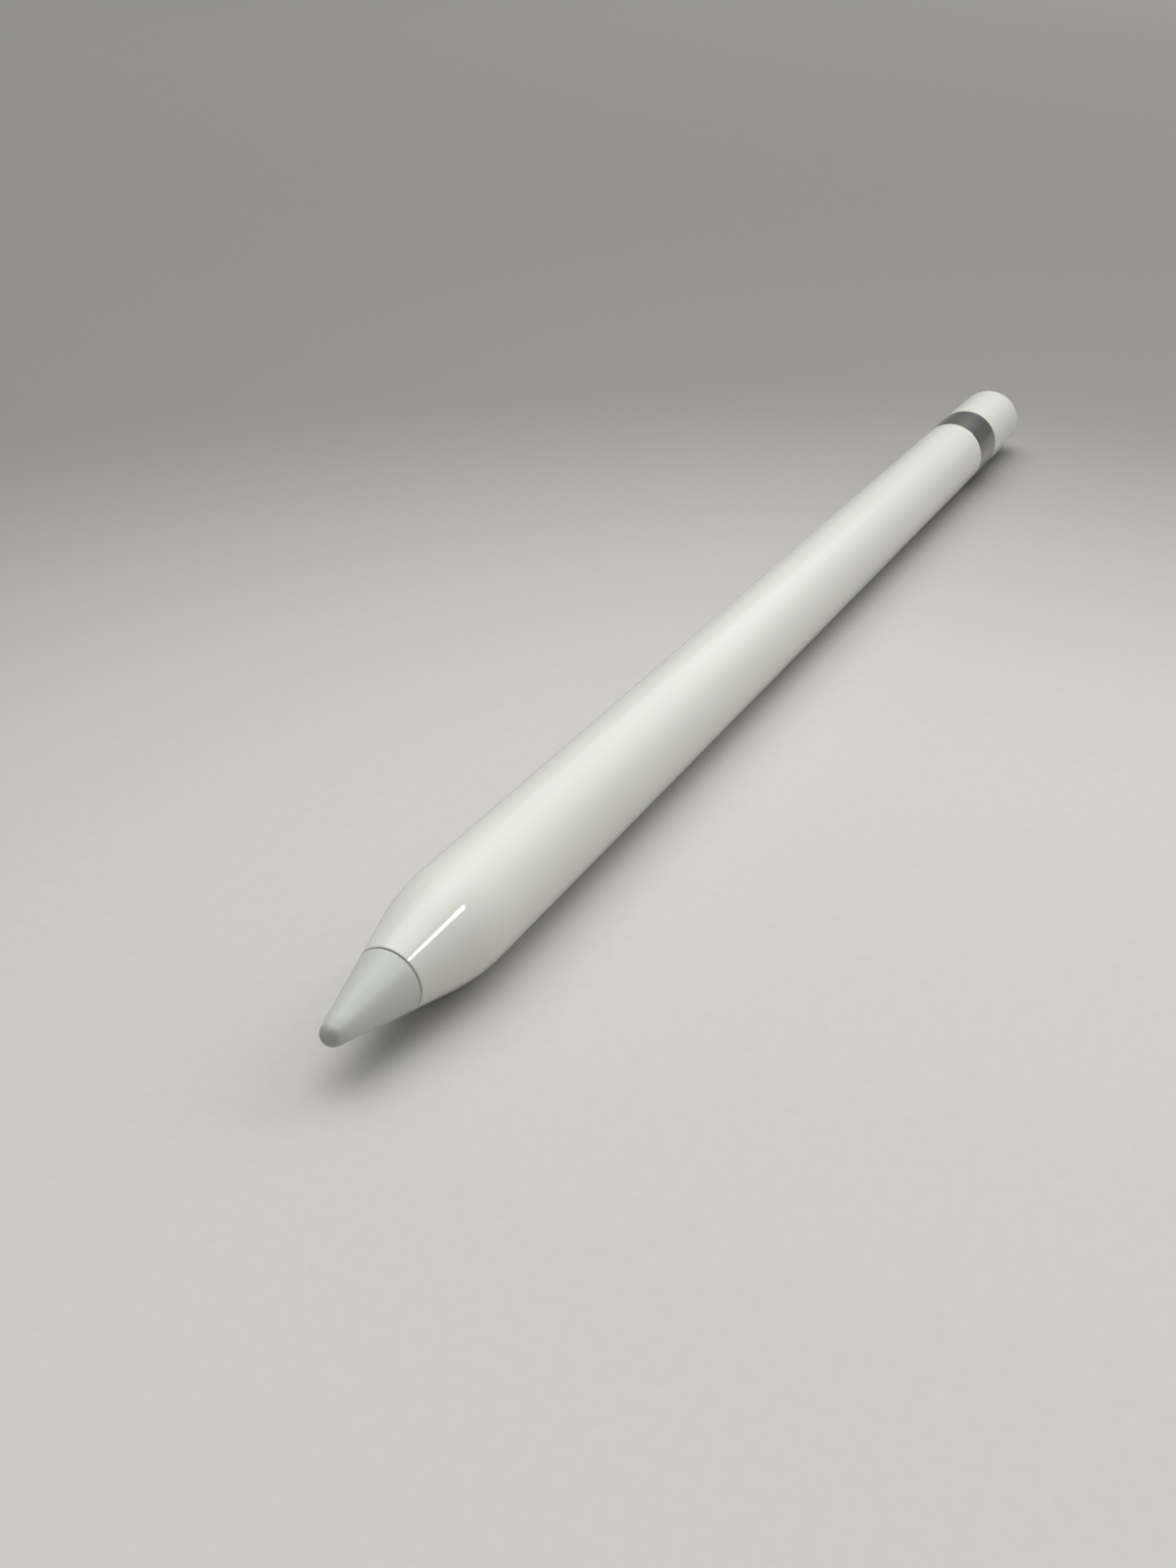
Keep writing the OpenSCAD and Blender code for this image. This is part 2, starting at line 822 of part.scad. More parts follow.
// Moulded block that holds the plug in the trim ring
module plug_carrier() {
    color("whitesmoke")
        along_pen()
            difference() {
                union() {
                    rod(carrier_neck_r, spigot_t, carrier_t1);
                    rod(carrier_r, step_t, carrier_t1);
                }
                translate([0, 0, plug_t0])
                    linear_extrude(height = plug_root + cut)
                        stadium(plug_t + 2 * seat_clear, plug_w + 2 * seat_clear);
                d_pair(carrier_r - keeper_rim + seat_clear, keeper_x - seat_clear,
                    carrier_t1 - keeper_t, cap_t + cut);
            }
}

// Outline of the plug seen on its broad face, with round corners at its end
module plug_outline() {
    translate([-plug_w / 2, plug_t0])
        square([plug_w, plug_t1 - plug_t0 - plug_corner]);
    translate([-plug_w / 2 + plug_corner, plug_t0])
        square([plug_w - 2 * plug_corner, plug_t1 - plug_t0]);
    for (side = [-1, 1])
        translate([side * (plug_w / 2 - plug_corner), plug_t1 - plug_corner])
            circle(r = plug_corner);
}

// Turns an outline of width and station into a slab across the thickness of the plug
module plug_slab(x0, x1) {
    translate([x0, 0, 0])
        rotate([90, 0, 90])
            linear_extrude(height = x1 - x0)
                children();
}

// Insulator of the plug, grown by a clearance all round
module plug_core_body(grow) {
    half = plug_t / 2 + (grow > 0 ? cut : -seat_clear);
    plug_slab(-half, half)
        translate([0, window_t + window_len / 2])
            round_rect(window_w + 2 * grow, window_len + 2 * grow, window_margin + grow);
    block(-tail_h / 2 - grow, tail_h / 2 + grow, 0, tail_w + 2 * grow, plug_t0 - (grow > 0 ? cut : 0),
        window_t + window_margin);
}

// Metal tab of the plug, with a window on each face and a latch notch in each edge
module plug_shell() {
    notch_r = 2 * notch_depth;
    color("silver")
        along_pen()
            difference() {
                intersection() {
                    translate([0, 0, plug_t0])
                        linear_extrude(height = plug_t1 - plug_t0)
                            stadium(plug_t, plug_w);
                    plug_slab(-plug_t, plug_t)
                        plug_outline();
                }
                plug_core_body(seat_clear);
                for (side = [-1, 1])
                    plug_slab(-plug_t, plug_t)
                        translate([side * (plug_w / 2 - notch_depth + notch_r), window_t - notch_r])
                            circle(r = notch_r);
            }
}

// Places a contact's outline at each contact on both faces of the plug
module at_contacts(thick, grow) {
    face = plug_t / 2;
    for (side = [0, 180], i = [0 : contact_count - 1])
        rotate(side)
            plug_slab(face - thick, face + (grow > 0 ? cut : 0))
                translate([(i - (contact_count - 1) / 2) * contact_pitch, window_t + window_len / 2])
                    stadium(contact_w + 2 * grow, contact_len + 2 * grow);
}

// Insulator that carries the contacts
module plug_core() {
    color("gainsboro")
        along_pen()
            difference() {
                plug_core_body(0);
                at_contacts(contact_t + seat_clear, seat_clear / 2);
            }
}

// Gold contacts, flush with both faces of the plug
module plug_contacts() {
    color("gold")
        along_pen()
            at_contacts(contact_t, 0);
}

// Steel plates that the cap's magnets pull on
module keeper_plates() {
    color("gray")
        along_pen()
            d_pair(carrier_r - keeper_rim, keeper_x, carrier_t1 - keeper_t + seat_clear, carrier_t1);
}

// Quarter disc that a dome is turned from
module dome_section(r) {
    translate([0, dome_t])
        intersection() {
            circle(r = r);
            square(r);
        }
}

// Cap with a domed end
module cap_shell() {
    color("white")
        along_pen()
            difference() {
                rotate_extrude() {
                    polygon([
                        [0, cap_t],
                        [pen_r - edge_break, cap_t],
                        [pen_r, cap_t + edge_break],
                        [pen_r, dome_t],
                        [0, dome_t]
                    ]);
                    dome_section(pen_r);
                }
                rotate_extrude() {
                    translate([0, cap_t - cut])
                        square([cap_bore_r, dome_t - cap_t + cut]);
                    dome_section(cap_bore_r);
                }
            }
}

// Liner in the cap, with a slot that the plug is keyed in
module cap_liner() {
    color("lightgray")
        along_pen()
            difference() {
                rod(liner_r, liner_t, liner_t1);
                translate([0, 0, liner_t - cut])
                    linear_extrude(height = cap_t + slot_depth - liner_t + cut)
                        stadium(plug_t + 2 * slot_clear, plug_w + 2 * slot_clear);
                d_pair(magnet_r + seat_clear, keeper_x - seat_clear,
                    liner_t - cut, liner_t + magnet_t + seat_clear);
            }
}

// Magnets that hold the cap on
module cap_magnets() {
    color("gray")
        along_pen()
            d_pair(magnet_r, keeper_x, liner_t, liner_t + magnet_t);
}

nib();
nib_insert();
tip_electrode();
sensor_post();
post_sleeve();
drive_pin();
post_seal();
tilt_emitter();
sensor_housing();
flexure_plates();
plate_spacers();
sensor_clamp();
strain_gauges();
front_flex();
barrel();
chassis_tube();
main_board();
second_board();
fold_flex();
board_chips();
shield_can();
battery_cell();
battery_pads();
battery_tabs();
balance_weight();
antenna_core();
antenna();
plug_flex();
trim_ring();
plug_carrier();
plug_shell();
plug_core();
plug_contacts();
keeper_plates();
cap_shell();
cap_liner();
cap_magnets();
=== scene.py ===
"""Looks of a round active stylus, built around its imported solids.

Sizes are in millimetres, and stations run along the pen from the end of the nib. They become metres
where a mesh, a lamp or the camera is made. Scales of patterns are in cells a metre.
"""

import logging
import math
from dataclasses import dataclass, field
from enum import Enum
from functools import cached_property
from typing import ClassVar, Mapping, Sequence

import bmesh
import bpy
from mathutils import Matrix, Vector


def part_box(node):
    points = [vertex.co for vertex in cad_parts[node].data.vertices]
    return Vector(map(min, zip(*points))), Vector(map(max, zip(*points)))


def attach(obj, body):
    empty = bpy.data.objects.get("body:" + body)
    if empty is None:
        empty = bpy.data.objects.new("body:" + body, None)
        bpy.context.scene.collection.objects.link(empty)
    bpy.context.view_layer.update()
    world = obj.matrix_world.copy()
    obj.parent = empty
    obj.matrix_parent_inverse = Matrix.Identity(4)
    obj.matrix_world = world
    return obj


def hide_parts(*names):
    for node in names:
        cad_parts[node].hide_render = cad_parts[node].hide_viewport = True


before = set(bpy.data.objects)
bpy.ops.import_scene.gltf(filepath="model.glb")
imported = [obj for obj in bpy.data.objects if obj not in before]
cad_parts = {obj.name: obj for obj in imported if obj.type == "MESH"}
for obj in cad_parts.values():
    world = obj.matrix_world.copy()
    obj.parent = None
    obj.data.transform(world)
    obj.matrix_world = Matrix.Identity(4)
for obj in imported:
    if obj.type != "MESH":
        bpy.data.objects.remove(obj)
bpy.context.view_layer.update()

log = logging.getLogger("stylus")

RGB = tuple[float, float, float]
Span = tuple[float, float]
Outline = list[Span]
Mesh = bpy.types.Mesh
Socket = bpy.types.NodeSocket
Number = float | Socket
Inputs = Mapping[str, object] | None

MM = 0.001
SEGMENTS = 192
ARC_STEP = math.radians(3)
LEAST_ARC_STEPS = 4
SHARP_ANGLE = math.radians(35)
TINY = 1e-5
PLASTIC_IOR = 1.5
CLOUD_DETAIL = 3.0
CLOUD_RANGE = (0.3, 0.7)


class Body(Enum):
    """Bodies that pieces ride on."""

    BARREL = "barrel"
    PLUNGER = "plunger"
    NIB = "nib"
    CAP = "cap"


class Slot(Enum):
    """Material slots of the record."""

    WHITE_GLOSS = "white_gloss"
    NIB_WHITE = "nib_white"
    RING_METAL = "ring_metal"
    STEEL = "steel"
    NICKEL = "nickel"
    GOLD = "gold"
    COPPER_FOIL = "copper_foil"
    WEIGHT_IRON = "weight_iron"
    SEAL_RUBBER = "seal_rubber"
    INNER_PLASTIC = "inner_plastic"
    SENSOR_PLASTIC = "sensor_plastic"
    BOARD_LAMINATE = "board_laminate"
    FLEX_FILM = "flex_film"
    CHIP_BLACK = "chip_black"
    CELL_FOIL = "cell_foil"
    PAD_FOAM = "pad_foam"


class LampUse(Enum):
    """What a lamp is there for."""

    FILL = "lights surfaces and stays out of reflections"
    GLINT = "shows in reflections only"


@dataclass(frozen=True)
class PenAxis:
    """Line that the pen is turned about, read from the frame."""

    start_x: float  # of the nib's end, in metres
    height: float  # above the resting plane, in metres
    length: float
    radius: float

    @classmethod
    def read(cls) -> "PenAxis":
        """Reads the axis from the boxes of the nib, the barrel, the ring and the cap.

        Returns:
            The axis.
        """
        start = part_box("nib")[0].x
        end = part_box("cap_shell")[1].x
        low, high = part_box("barrel")
        radius = max(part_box(node)[1].y for node in ("barrel", "trim_ring", "cap_shell"))
        return cls(start, (low.z + high.z) / 2, (end - start) / MM, radius / MM)

    def point(self, station: float, radius: float, angle: float) -> Vector:
        """Gives a point around the axis.

        Args:
            station: distance from the end of the nib.
            radius: distance from the axis.
            angle: angle around the axis, in radians, from +Y towards +Z.

        Returns:
            The point in metres.
        """
        across = radius * MM * math.cos(angle)
        up = radius * MM * math.sin(angle)
        return Vector((self.start_x + station * MM, across, self.height + up))

    def span(self, node: str) -> Span:
        """Gives the first and the last station of a node."""
        low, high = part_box(node)
        return (low.x - self.start_x) / MM, (high.x - self.start_x) / MM

    def reach(self, node: str) -> float:
        """Gives the radius that a node reaches above the axis."""
        return (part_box(node)[1].z - self.height) / MM


AXIS = PenAxis.read()
NOSE_T, RING_T = AXIS.span("barrel")
CAP_T = AXIS.span("cap_shell")[0]
STUD_T = AXIS.span("sensor_post")[0]


@dataclass(frozen=True)
class Corner:
    """Corner of an outline, and the radius that rounds it."""

    t: float
    r: float
    fillet: float = 0.0

    def place(self) -> Vector:
        """Gives the corner as a flat point of station and radius."""
        return Vector((self.t, self.r))


def fillet_arc(before: Corner, corner: Corner, after: Corner) -> Outline:
    """Rounds one corner with an arc that touches both of its sides.

    Args:
        before: corner before it.
        corner: corner to round.
        after: corner after it.

    Returns:
        The points of the arc.
    """
    here = corner.place()
    back = (before.place() - here).normalized()
    ahead = (after.place() - here).normalized()
    half = back.angle(ahead) / 2
    centre = here + (back + ahead).normalized() * corner.fillet / math.sin(half)
    first = here + back * corner.fillet / math.tan(half) - centre
    last = here + ahead * corner.fillet / math.tan(half) - centre
    steps = max(LEAST_ARC_STEPS, math.ceil((math.pi - 2 * half) / ARC_STEP))
    shares = [k / steps for k in range(steps + 1)]
    return [tuple(centre + first.slerp(last, share) * corner.fillet) for share in shares]


def rounded(corners: Sequence[Corner], closed: bool) -> Outline:
    """Makes an outline with rounded corners.

    Args:
        corners: corners in order.
        closed: True where the last corner joins the first.

    Returns:
        The points of the outline, with none doubled.
    """
    points: Outline = []
    count = len(corners)
    for i, corner in enumerate(corners):
        if corner.fillet and (closed or 0 < i < count - 1):
            points.extend(fillet_arc(corners[i - 1], corner, corners[(i + 1) % count]))
        else:
            points.append((corner.t, corner.r))
    return [p for i, p in enumerate(points) if i == 0 or math.dist(p, points[i - 1]) > TINY]


def turned(name: str, corners: Sequence[Corner], closed: bool) -> Mesh:
    """Turns an outline about the pen's axis into a closed, smooth mesh.

    Args:
        name: name of the mesh.
        corners: corners of the outline; an open one starts and ends on the axis.
        closed: True for the section of a tube.

    Returns:
        The mesh, in its place.
    """
    shape = bmesh.new()
    rings = []
    for t, r in rounded(corners, closed):
        angles = [math.tau * k / SEGMENTS for k in range(SEGMENTS if r > TINY else 1)]
        rings.append([shape.verts.new(AXIS.point(t, r, angle)) for angle in angles])
    pairs = list(zip(rings, rings[1:]))
    if closed:
        pairs.append((rings[-1], rings[0]))
    for a, b in pairs:
        for k in range(SEGMENTS):
            loop = [a[k % len(a)], a[(k + 1) % len(a)], b[(k + 1) % len(b)], b[k % len(b)]]
            shape.faces.new(list(dict.fromkeys(loop)))
    bmesh.ops.recalc_face_normals(shape, faces=shape.faces)
    for face in shape.faces:
        face.smooth = True
    mesh = bpy.data.meshes.new(name)
    shape.to_mesh(mesh)
    shape.free()
    mesh.set_sharp_from_angle(angle=SHARP_ANGLE)
    return mesh


def new_object(name: str, data: bpy.types.ID) -> bpy.types.Object:
    """Adds an object to the scene.

    Args:
        name: name of the object.
        data: its mesh, lamp or camera.

    Returns:
        The object.
    """
    made = bpy.data.objects.new(name, data)
    bpy.context.scene.collection.objects.link(made)
    return made


class NodeSheet:
    """Lays nodes and links in one node tree."""

    def __init__(self, tree: bpy.types.NodeTree) -> None:
        """Keeps the tree that the nodes go into."""
        self.tree = tree

    def add(self, kind: str, inputs: Inputs = None, **settings: object) -> bpy.types.Node:
        """Adds a node.

        Args:
            kind: Blender's name of the node type.
            inputs: values or output sockets by the name of the input that takes them.
            settings: attributes of the node.

        Returns:
            The node.
        """
        node = self.tree.nodes.new(kind)
        for key, value in settings.items():
            setattr(node, key, value)
        for key, value in (inputs or {}).items():
            self.feed(node.inputs[key], value)
        return node

    def feed(self, target: Socket, value: object) -> None:
        """Links an output socket to an input, or sets the input's value.

        Args:
            target: input to feed.
            value: output socket, number, vector or colour.
        """
        if isinstance(value, Socket):
            self.tree.links.new(value, target)
        elif target.type == "RGBA":
            target.default_value = (*value, 1.0)
        else:
            target.default_value = value

    def math(self, operation: str, *values: object, kind: str = "ShaderNodeMath") -> Socket:
        """Adds a Math node, or a Vector Math node that gives a number.

        Args:
            operation: Blender's name of the operation.
            values: numbers, vectors or sockets for its inputs.
            kind: Blender's name of the node type.

        Returns:
            Its result.
        """
        node = self.add(kind, operation=operation)
        for socket, value in zip(node.inputs, values):
            self.feed(socket, value)
        return node.outputs["Value"]

    def ramp(self, value: Socket, low: Number, high: Number, to_low: Number = 0.0,
             to_high: Number = 1.0, soft: bool = False) -> Socket:
        """Maps a value from one range to another and clamps it.

        Args:
            value: socket to map.
            low: start of the old range.
            high: end of the old range.
            to_low: start of the new range.
            to_high: end of the new range.
            soft: True to ease both ends.

        Returns:
            The mapped value.
        """
        sizes = {"Value": value, "From Min": low, "From Max": high,
                 "To Min": to_low, "To Max": to_high}
        kind = "SMOOTHSTEP" if soft else "LINEAR"
        return self.add("ShaderNodeMapRange", sizes, interpolation_type=kind).outputs["Result"]

    def tint(self, factor: Socket, low: object, high: object) -> Socket:
        """Mixes two colours.

        Args:
            factor: share of the second colour.
            low: first colour or socket.
            high: second colour or socket.

        Returns:
            The mixed colour.
        """
        node = self.add("ShaderNodeMix", data_type="RGBA")
        by_name = {socket.identifier: socket for socket in node.inputs}
        for name, value in (("Factor_Float", factor), ("A_Color", low), ("B_Color", high)):
            self.feed(by_name[name], value)
        return next(socket for socket in node.outputs if socket.identifier == "Result_Color")

    def place(self) -> Socket:
        """Gives the place on the piece in its own coordinates."""
        return self.add("ShaderNodeTexCoord").outputs["Object"]

    def along(self) -> Socket:
        """Gives the place along the pen, in metres."""
        return self.add("ShaderNodeSeparateXYZ", {"Vector": self.place()}).outputs["X"]

    def noise(self, scale: Number, detail: float, stretch: RGB | None = None) -> Socket:
        """Adds a noise texture on the piece's own coordinates.

        Args:
            scale: size of the pattern.
            detail: number of finer layers.
            stretch: scale of the pattern along each axis.

        Returns:
            The noise, from 0 to 1.
        """
        where = self.place()
        if stretch:
            mapping = self.add("ShaderNodeMapping", {"Vector": where, "Scale": stretch})
            where = mapping.outputs["Vector"]
        sizes = {"Vector": where, "Scale": scale, "Detail": detail}
        return self.add("ShaderNodeTexNoise", sizes).outputs["Fac"]

    def cloud(self, scale: float) -> Socket:
        """Gives soft clouds, from 0 to 1."""
        return self.ramp(self.noise(scale, CLOUD_DETAIL), *CLOUD_RANGE)

    def effect(self, effect: "type[SharedEffect]", **values: float) -> Mapping[str, Socket]:
        """Places a shared effect, with values for its inputs, and gives its outputs by name."""
        return self.add("ShaderNodeGroup", values, node_tree=effect.group()).outputs


class SharedEffect(NodeSheet):
    """Surface effect that several finishes share, as a node group that is built once."""

    title: ClassVar[str]
    takes: ClassVar[tuple[str, ...]]
    gives: ClassVar[tuple[str, ...]]

    def __init__(self) -> None:
        """Makes the node group with its sockets, and lays its nodes."""
        super().__init__(bpy.data.node_groups.new(self.title, "ShaderNodeTree"))
        for way, names in (("INPUT", self.takes), ("OUTPUT", self.gives)):
            for name in names:
                self.tree.interface.new_socket(
                    name=name, in_out=way, socket_type="NodeSocketFloat")
        self.given = self.add("NodeGroupInput").outputs
        self.result = self.add("NodeGroupOutput").inputs
        self.lay()

    def lay(self) -> None:
        """Lays the nodes of the effect; each effect has its own."""
        raise NotImplementedError

    @classmethod
    def group(cls) -> bpy.types.NodeTree:
        """Gives the node group of the effect."""
        return bpy.data.node_groups.get(cls.title) or cls().tree


class FineGrain(SharedEffect):
    """Fine grain of a moulded or sintered surface."""

    title, takes, gives = "Fine grain", ("Scale",), ("Height",)
    detail = 3.0

    def lay(self) -> None:
        """Lays one even noise."""
        self.feed(self.result["Height"], self.noise(self.given["Scale"], self.detail))


class HandlingMarks(SharedEffect):
    """Soft smears and sparse hairlines left by handling."""

    title, takes, gives = "Handling marks", ("Smear", "Hairline"), ("Smear", "Hairline")
    smear_detail, smear_stretch, smear_range = 4.0, (0.4, 1.0, 1.0), (0.5, 0.72)
    hair_detail, hair_stretch, hair_level, hair_width = 1.0, (0.15, 1.0, 0.7), 0.5, 0.004
    patch_detail, patch_range = 1.0, (0.54, 0.6)

    def lay(self) -> None:
        """Lays the smears, and the hairlines where a noise crosses a level within patches."""
        smear = self.noise(self.given["Smear"], self.smear_detail, self.smear_stretch)
        self.feed(self.result["Smear"], self.ramp(smear, *self.smear_range))
        hair = self.noise(self.given["Hairline"], self.hair_detail, self.hair_stretch)
        off = self.math("ABSOLUTE", self.math("SUBTRACT", hair, self.hair_level))
        line = self.ramp(off, 0.0, self.hair_width, 1.0, 0.0)
        patch = self.ramp(self.noise(self.given["Smear"], self.patch_detail), *self.patch_range)
        self.feed(self.result["Hairline"], self.math("MULTIPLY", line, patch))


class TurnedLines(SharedEffect):
    """Fine rings that turning leaves around the pen's axis."""

    title, takes, gives = "Turned lines", ("Lines",), ("Height",)
    detail = 2.0

    def lay(self) -> None:
        """Lays a noise that changes along the pen only."""
        sizes = {"W": self.along(), "Scale": self.given["Lines"], "Detail": self.detail}
        rings = self.add("ShaderNodeTexNoise", sizes, noise_dimensions="1D")
        self.feed(self.result["Height"], rings.outputs["Fac"])


class SeamSpecks(SharedEffect):
    """Grey specks beside a seam around the pen."""

    title, takes, gives = "Seam specks", ("Seam", "Reach"), ("Mask",)
    speck_scale, speck_detail, speck_range = 5000.0, 3.0, (0.35, 0.75)

    def lay(self) -> None:
        """Lays specks that thin out away from the seam."""
        away = self.math("ABSOLUTE", self.math("SUBTRACT", self.along(), self.given["Seam"]))
        near = self.math("SUBTRACT", 1.0, self.math("DIVIDE", away, self.given["Reach"]))
        specks = self.ramp(self.noise(self.speck_scale, self.speck_detail), *self.speck_range)
        mask = self.math("MULTIPLY", self.ramp(near, 0.0, 1.0), specks)
        self.feed(self.result["Mask"], mask)


class Coat(NodeSheet):
    """Node sheet of one material, around its Principled BSDF."""

    def __init__(self, material: bpy.types.Material) -> None:
        """Turns on the material's nodes.

        Args:
            material: material to lay the nodes in.
        """
        material.use_nodes = True
        super().__init__(material.node_tree)
        self.material = material
        self.shader = self.tree.nodes["Principled BSDF"].inputs

    def put(self, name: str, value: object) -> None:
        """Feeds an input of the shader by its name."""
        self.feed(self.shader[name], value)

    def dress(self, colour: Socket, roughness: Socket, relief: Socket, depth: float) -> None:
        """Feeds what changes over the surface to the shader.

        Args:
            colour: base colour.
            roughness: roughness.
            relief: height from 0 to 1.
            depth: depth of the relief.
        """
        self.put("Base Color", colour)
        self.put("Roughness", roughness)
        bump = self.add("ShaderNodeBump", {"Height": relief, "Distance": depth * MM})
        self.put("Normal", bump.outputs["Normal"])


@dataclass(frozen=True)
class Finish:
    """Finish of a surface: a slot of the record, a colour, a roughness and a pattern."""

    slot: Slot
    colour: RGB
    roughness: float

    @cached_property
    def coat(self) -> Coat:
        """Sheet of the finish's own material."""
        return Coat(bpy.data.materials.new(self.slot.value + "_finish"))

    @cached_property
    def material(self) -> bpy.types.Material:
        """Material of the finish, wired when it is first asked for."""
        self.wire()
        return self.coat.material

    def wire(self) -> None:
        """Lays the nodes of the pattern; each kind of finish has its own."""
        raise NotImplementedError

    def shade(self, amount: float) -> RGB:
        """Gives the main colour, darker or lighter by a factor."""
        return tuple(min(1.0, c * amount) for c in self.colour)

    def dull(self, mask: Socket, more: float, over: Span = (0.0, 1.0)) -> Socket:
        """Gives the roughness, with more of it as a mask goes over a range."""
        return self.coat.ramp(mask, *over, self.roughness, self.roughness + more)


@dataclass(frozen=True)
class GlossShell(Finish):
    """Glossy white moulding with faint smears, hairlines and grey specks beside its seams."""

    seams: tuple[float, ...] = ()  # stations
    reach: float = 0.25  # of the specks, from a seam
    seam_specks: RGB = (0.42, 0.41, 0.38)
    cover: float = 0.25  # share of the white that the specks hide at most
    smear: float = 150.0
    smear_dulls: float = 0.02
    hairline: float = 900.0
    hairline_depth: float = 0.0001
    clouds: float = 70.0
    cloud_tone: float = 0.985

    def wire(self) -> None:
        """Lays smears, hairlines and grey specks over the white."""
        coat = self.coat
        marks = coat.effect(HandlingMarks, Smear=self.smear, Hairline=self.hairline)
        mask = None
        for seam in self.seams:
            place = AXIS.start_x + seam * MM
            seam_specks = coat.effect(SeamSpecks, Seam=place, Reach=self.reach * MM)["Mask"]
            mask = coat.math("MAXIMUM", mask, seam_specks) if mask else seam_specks
        specked = coat.ramp(mask, 0.0, 1.0, 0.0, self.cover)
        white = coat.tint(coat.cloud(self.clouds), self.colour, self.shade(self.cloud_tone))
        gloss = self.dull(marks["Smear"], self.smear_dulls)
        coat.put("IOR", PLASTIC_IOR)
        coat.dress(coat.tint(specked, white, self.seam_specks), coat.math("MAXIMUM", gloss, specked),
                   marks["Hairline"], self.hairline_depth)


@dataclass(frozen=True)
class SatinNib(Finish):
    """Satin white of the nib, finely grained and worn smooth at its end, which is grey from wear
    and painted shade.
    """

    # Grey of the nib's end: partly wear, partly painted shade.
    wear_and_shade_grey: RGB = (0.40, 0.40, 0.39)
    wear_and_shade_length: float = 1.6
    worn_dulls: float = -0.1
    patches: float = 1500.0
    patch_detail: float = 4.0
    patch_noise: Span = (0.25, 0.75)
    patch_wear_and_shade: Span = (0.45, 1.0)
    smear: float = 420.0
    smear_tone: float = 0.95
    hairline: float = 2200.0
    grain: float = 9000.0
    depth: float = 0.004

    def wire(self) -> None:
        """Lays the grain, and the wear and painted shade towards the nib's end."""
        coat = self.coat
        grain = coat.effect(FineGrain, Scale=self.grain)["Height"]
        marks = coat.effect(HandlingMarks, Smear=self.smear, Hairline=self.hairline)
        wear_and_shade_end = AXIS.start_x + self.wear_and_shade_length * MM
        end = coat.ramp(coat.along(), AXIS.start_x, wear_and_shade_end, 1.0, 0.0)
        noise = coat.noise(self.patches, self.patch_detail)
        wear_and_shade = coat.math("MULTIPLY", end, coat.ramp(noise, *self.patch_noise, *self.patch_wear_and_shade))
        clean = coat.tint(marks["Smear"], self.colour, self.shade(self.smear_tone))
        coat.put("IOR", PLASTIC_IOR)
        coat.dress(coat.tint(wear_and_shade, clean, self.wear_and_shade_grey), self.dull(wear_and_shade, self.worn_dulls),
                   coat.math("ADD", grain, marks["Hairline"]), self.depth)


@dataclass(frozen=True)
class Metal(Finish):
    """Bare or plated metal with turned lines, hairlines and dulled smears."""

    lines: float = 9000.0
    depth: float = 0.002
    smear: float = 500.0
    smear_tone: float = 0.88
    smear_dulls: float = 0.12
    hairline: float = 1800.0

    def wire(self) -> None:
        """Lays the lines and the dulled smears over the metal."""
        coat = self.coat
        marks = coat.effect(HandlingMarks, Smear=self.smear, Hairline=self.hairline)
        rings = coat.effect(TurnedLines, Lines=self.lines)["Height"]
        coat.put("Metallic", 1.0)
        coat.dress(coat.tint(marks["Smear"], self.colour, self.shade(self.smear_tone)),
                   self.dull(marks["Smear"], self.smear_dulls),
                   coat.math("ADD", rings, marks["Hairline"]), self.depth)


@dataclass(frozen=True)
class Moulding(Finish):
    """Matt moulded plastic, rubber or sintered metal with a grain."""

    grain: float = 4000.0
    grain_range: Span = (0.2, 0.8)
    grain_dulls: float = 0.15
    depth: float = 0.006
    clouds: float = 600.0
    cloud_tone: float = 0.9

    def wire(self) -> None:
        """Lays the grain and a faint change of tone."""
        coat = self.coat
        grain = coat.effect(FineGrain, Scale=self.grain)["Height"]
        tone = coat.tint(coat.cloud(self.clouds), self.colour, self.shade(self.cloud_tone))
        coat.dress(tone, self.dull(grain, self.grain_dulls, self.grain_range),
                   grain, self.depth)


@dataclass(frozen=True)
class Laminate(Finish):
    """Circuit board: solder mask over traces, with tinned vias."""

    traces: float = 420.0
    trace_gap: float = 0.05
    trace_length: float = 1.3
    trace_pitch: float = 0.16
    trace_tone: float = 1.7
    trace_depth: float = 0.01
    vias: float = 700.0
    via: RGB = (0.62, 0.60, 0.54)
    via_rim: Span = (0.14, 0.17)
    via_dulls: float = 0.1

    def wire(self) -> None:
        """Lays traces under the mask and vias through it."""
        coat = self.coat
        traces = coat.add("ShaderNodeTexBrick", {
            "Vector": coat.place(), "Scale": self.traces, "Mortar Size": self.trace_gap,
            "Brick Width": self.trace_length, "Row Height": self.trace_pitch}).outputs["Fac"]
        holes = coat.add("ShaderNodeTexVoronoi", {"Vector": coat.place(), "Scale": self.vias})
        via = coat.ramp(holes.outputs["Distance"], *self.via_rim, 1.0, 0.0)
        mask = coat.tint(traces, self.colour, self.shade(self.trace_tone))
        coat.put("Metallic", via)
        coat.dress(coat.tint(via, mask, self.via), self.dull(via, self.via_dulls),
                   traces, self.trace_depth)


@dataclass(frozen=True)
class Film(Finish):
    """Flexible circuit: amber film over copper traces that run along the pen."""

    traces: float = 700.0
    trace: RGB = (0.55, 0.27, 0.08)
    trace_rim: Span = (0.45, 0.6)
    trace_dulls: float = 0.1
    trace_depth: float = 0.01

    def wire(self) -> None:
        """Lays the traces under the film."""
        coat = self.coat
        sizes = {"Vector": coat.place(), "Scale": self.traces, "Distortion": 0.0}
        lines = coat.add("ShaderNodeTexWave", sizes, bands_direction="Y")
        copper = coat.ramp(lines.outputs["Fac"], *self.trace_rim)
        coat.dress(coat.tint(copper, self.colour, self.trace),
                   self.dull(copper, self.trace_dulls), copper, self.trace_depth)


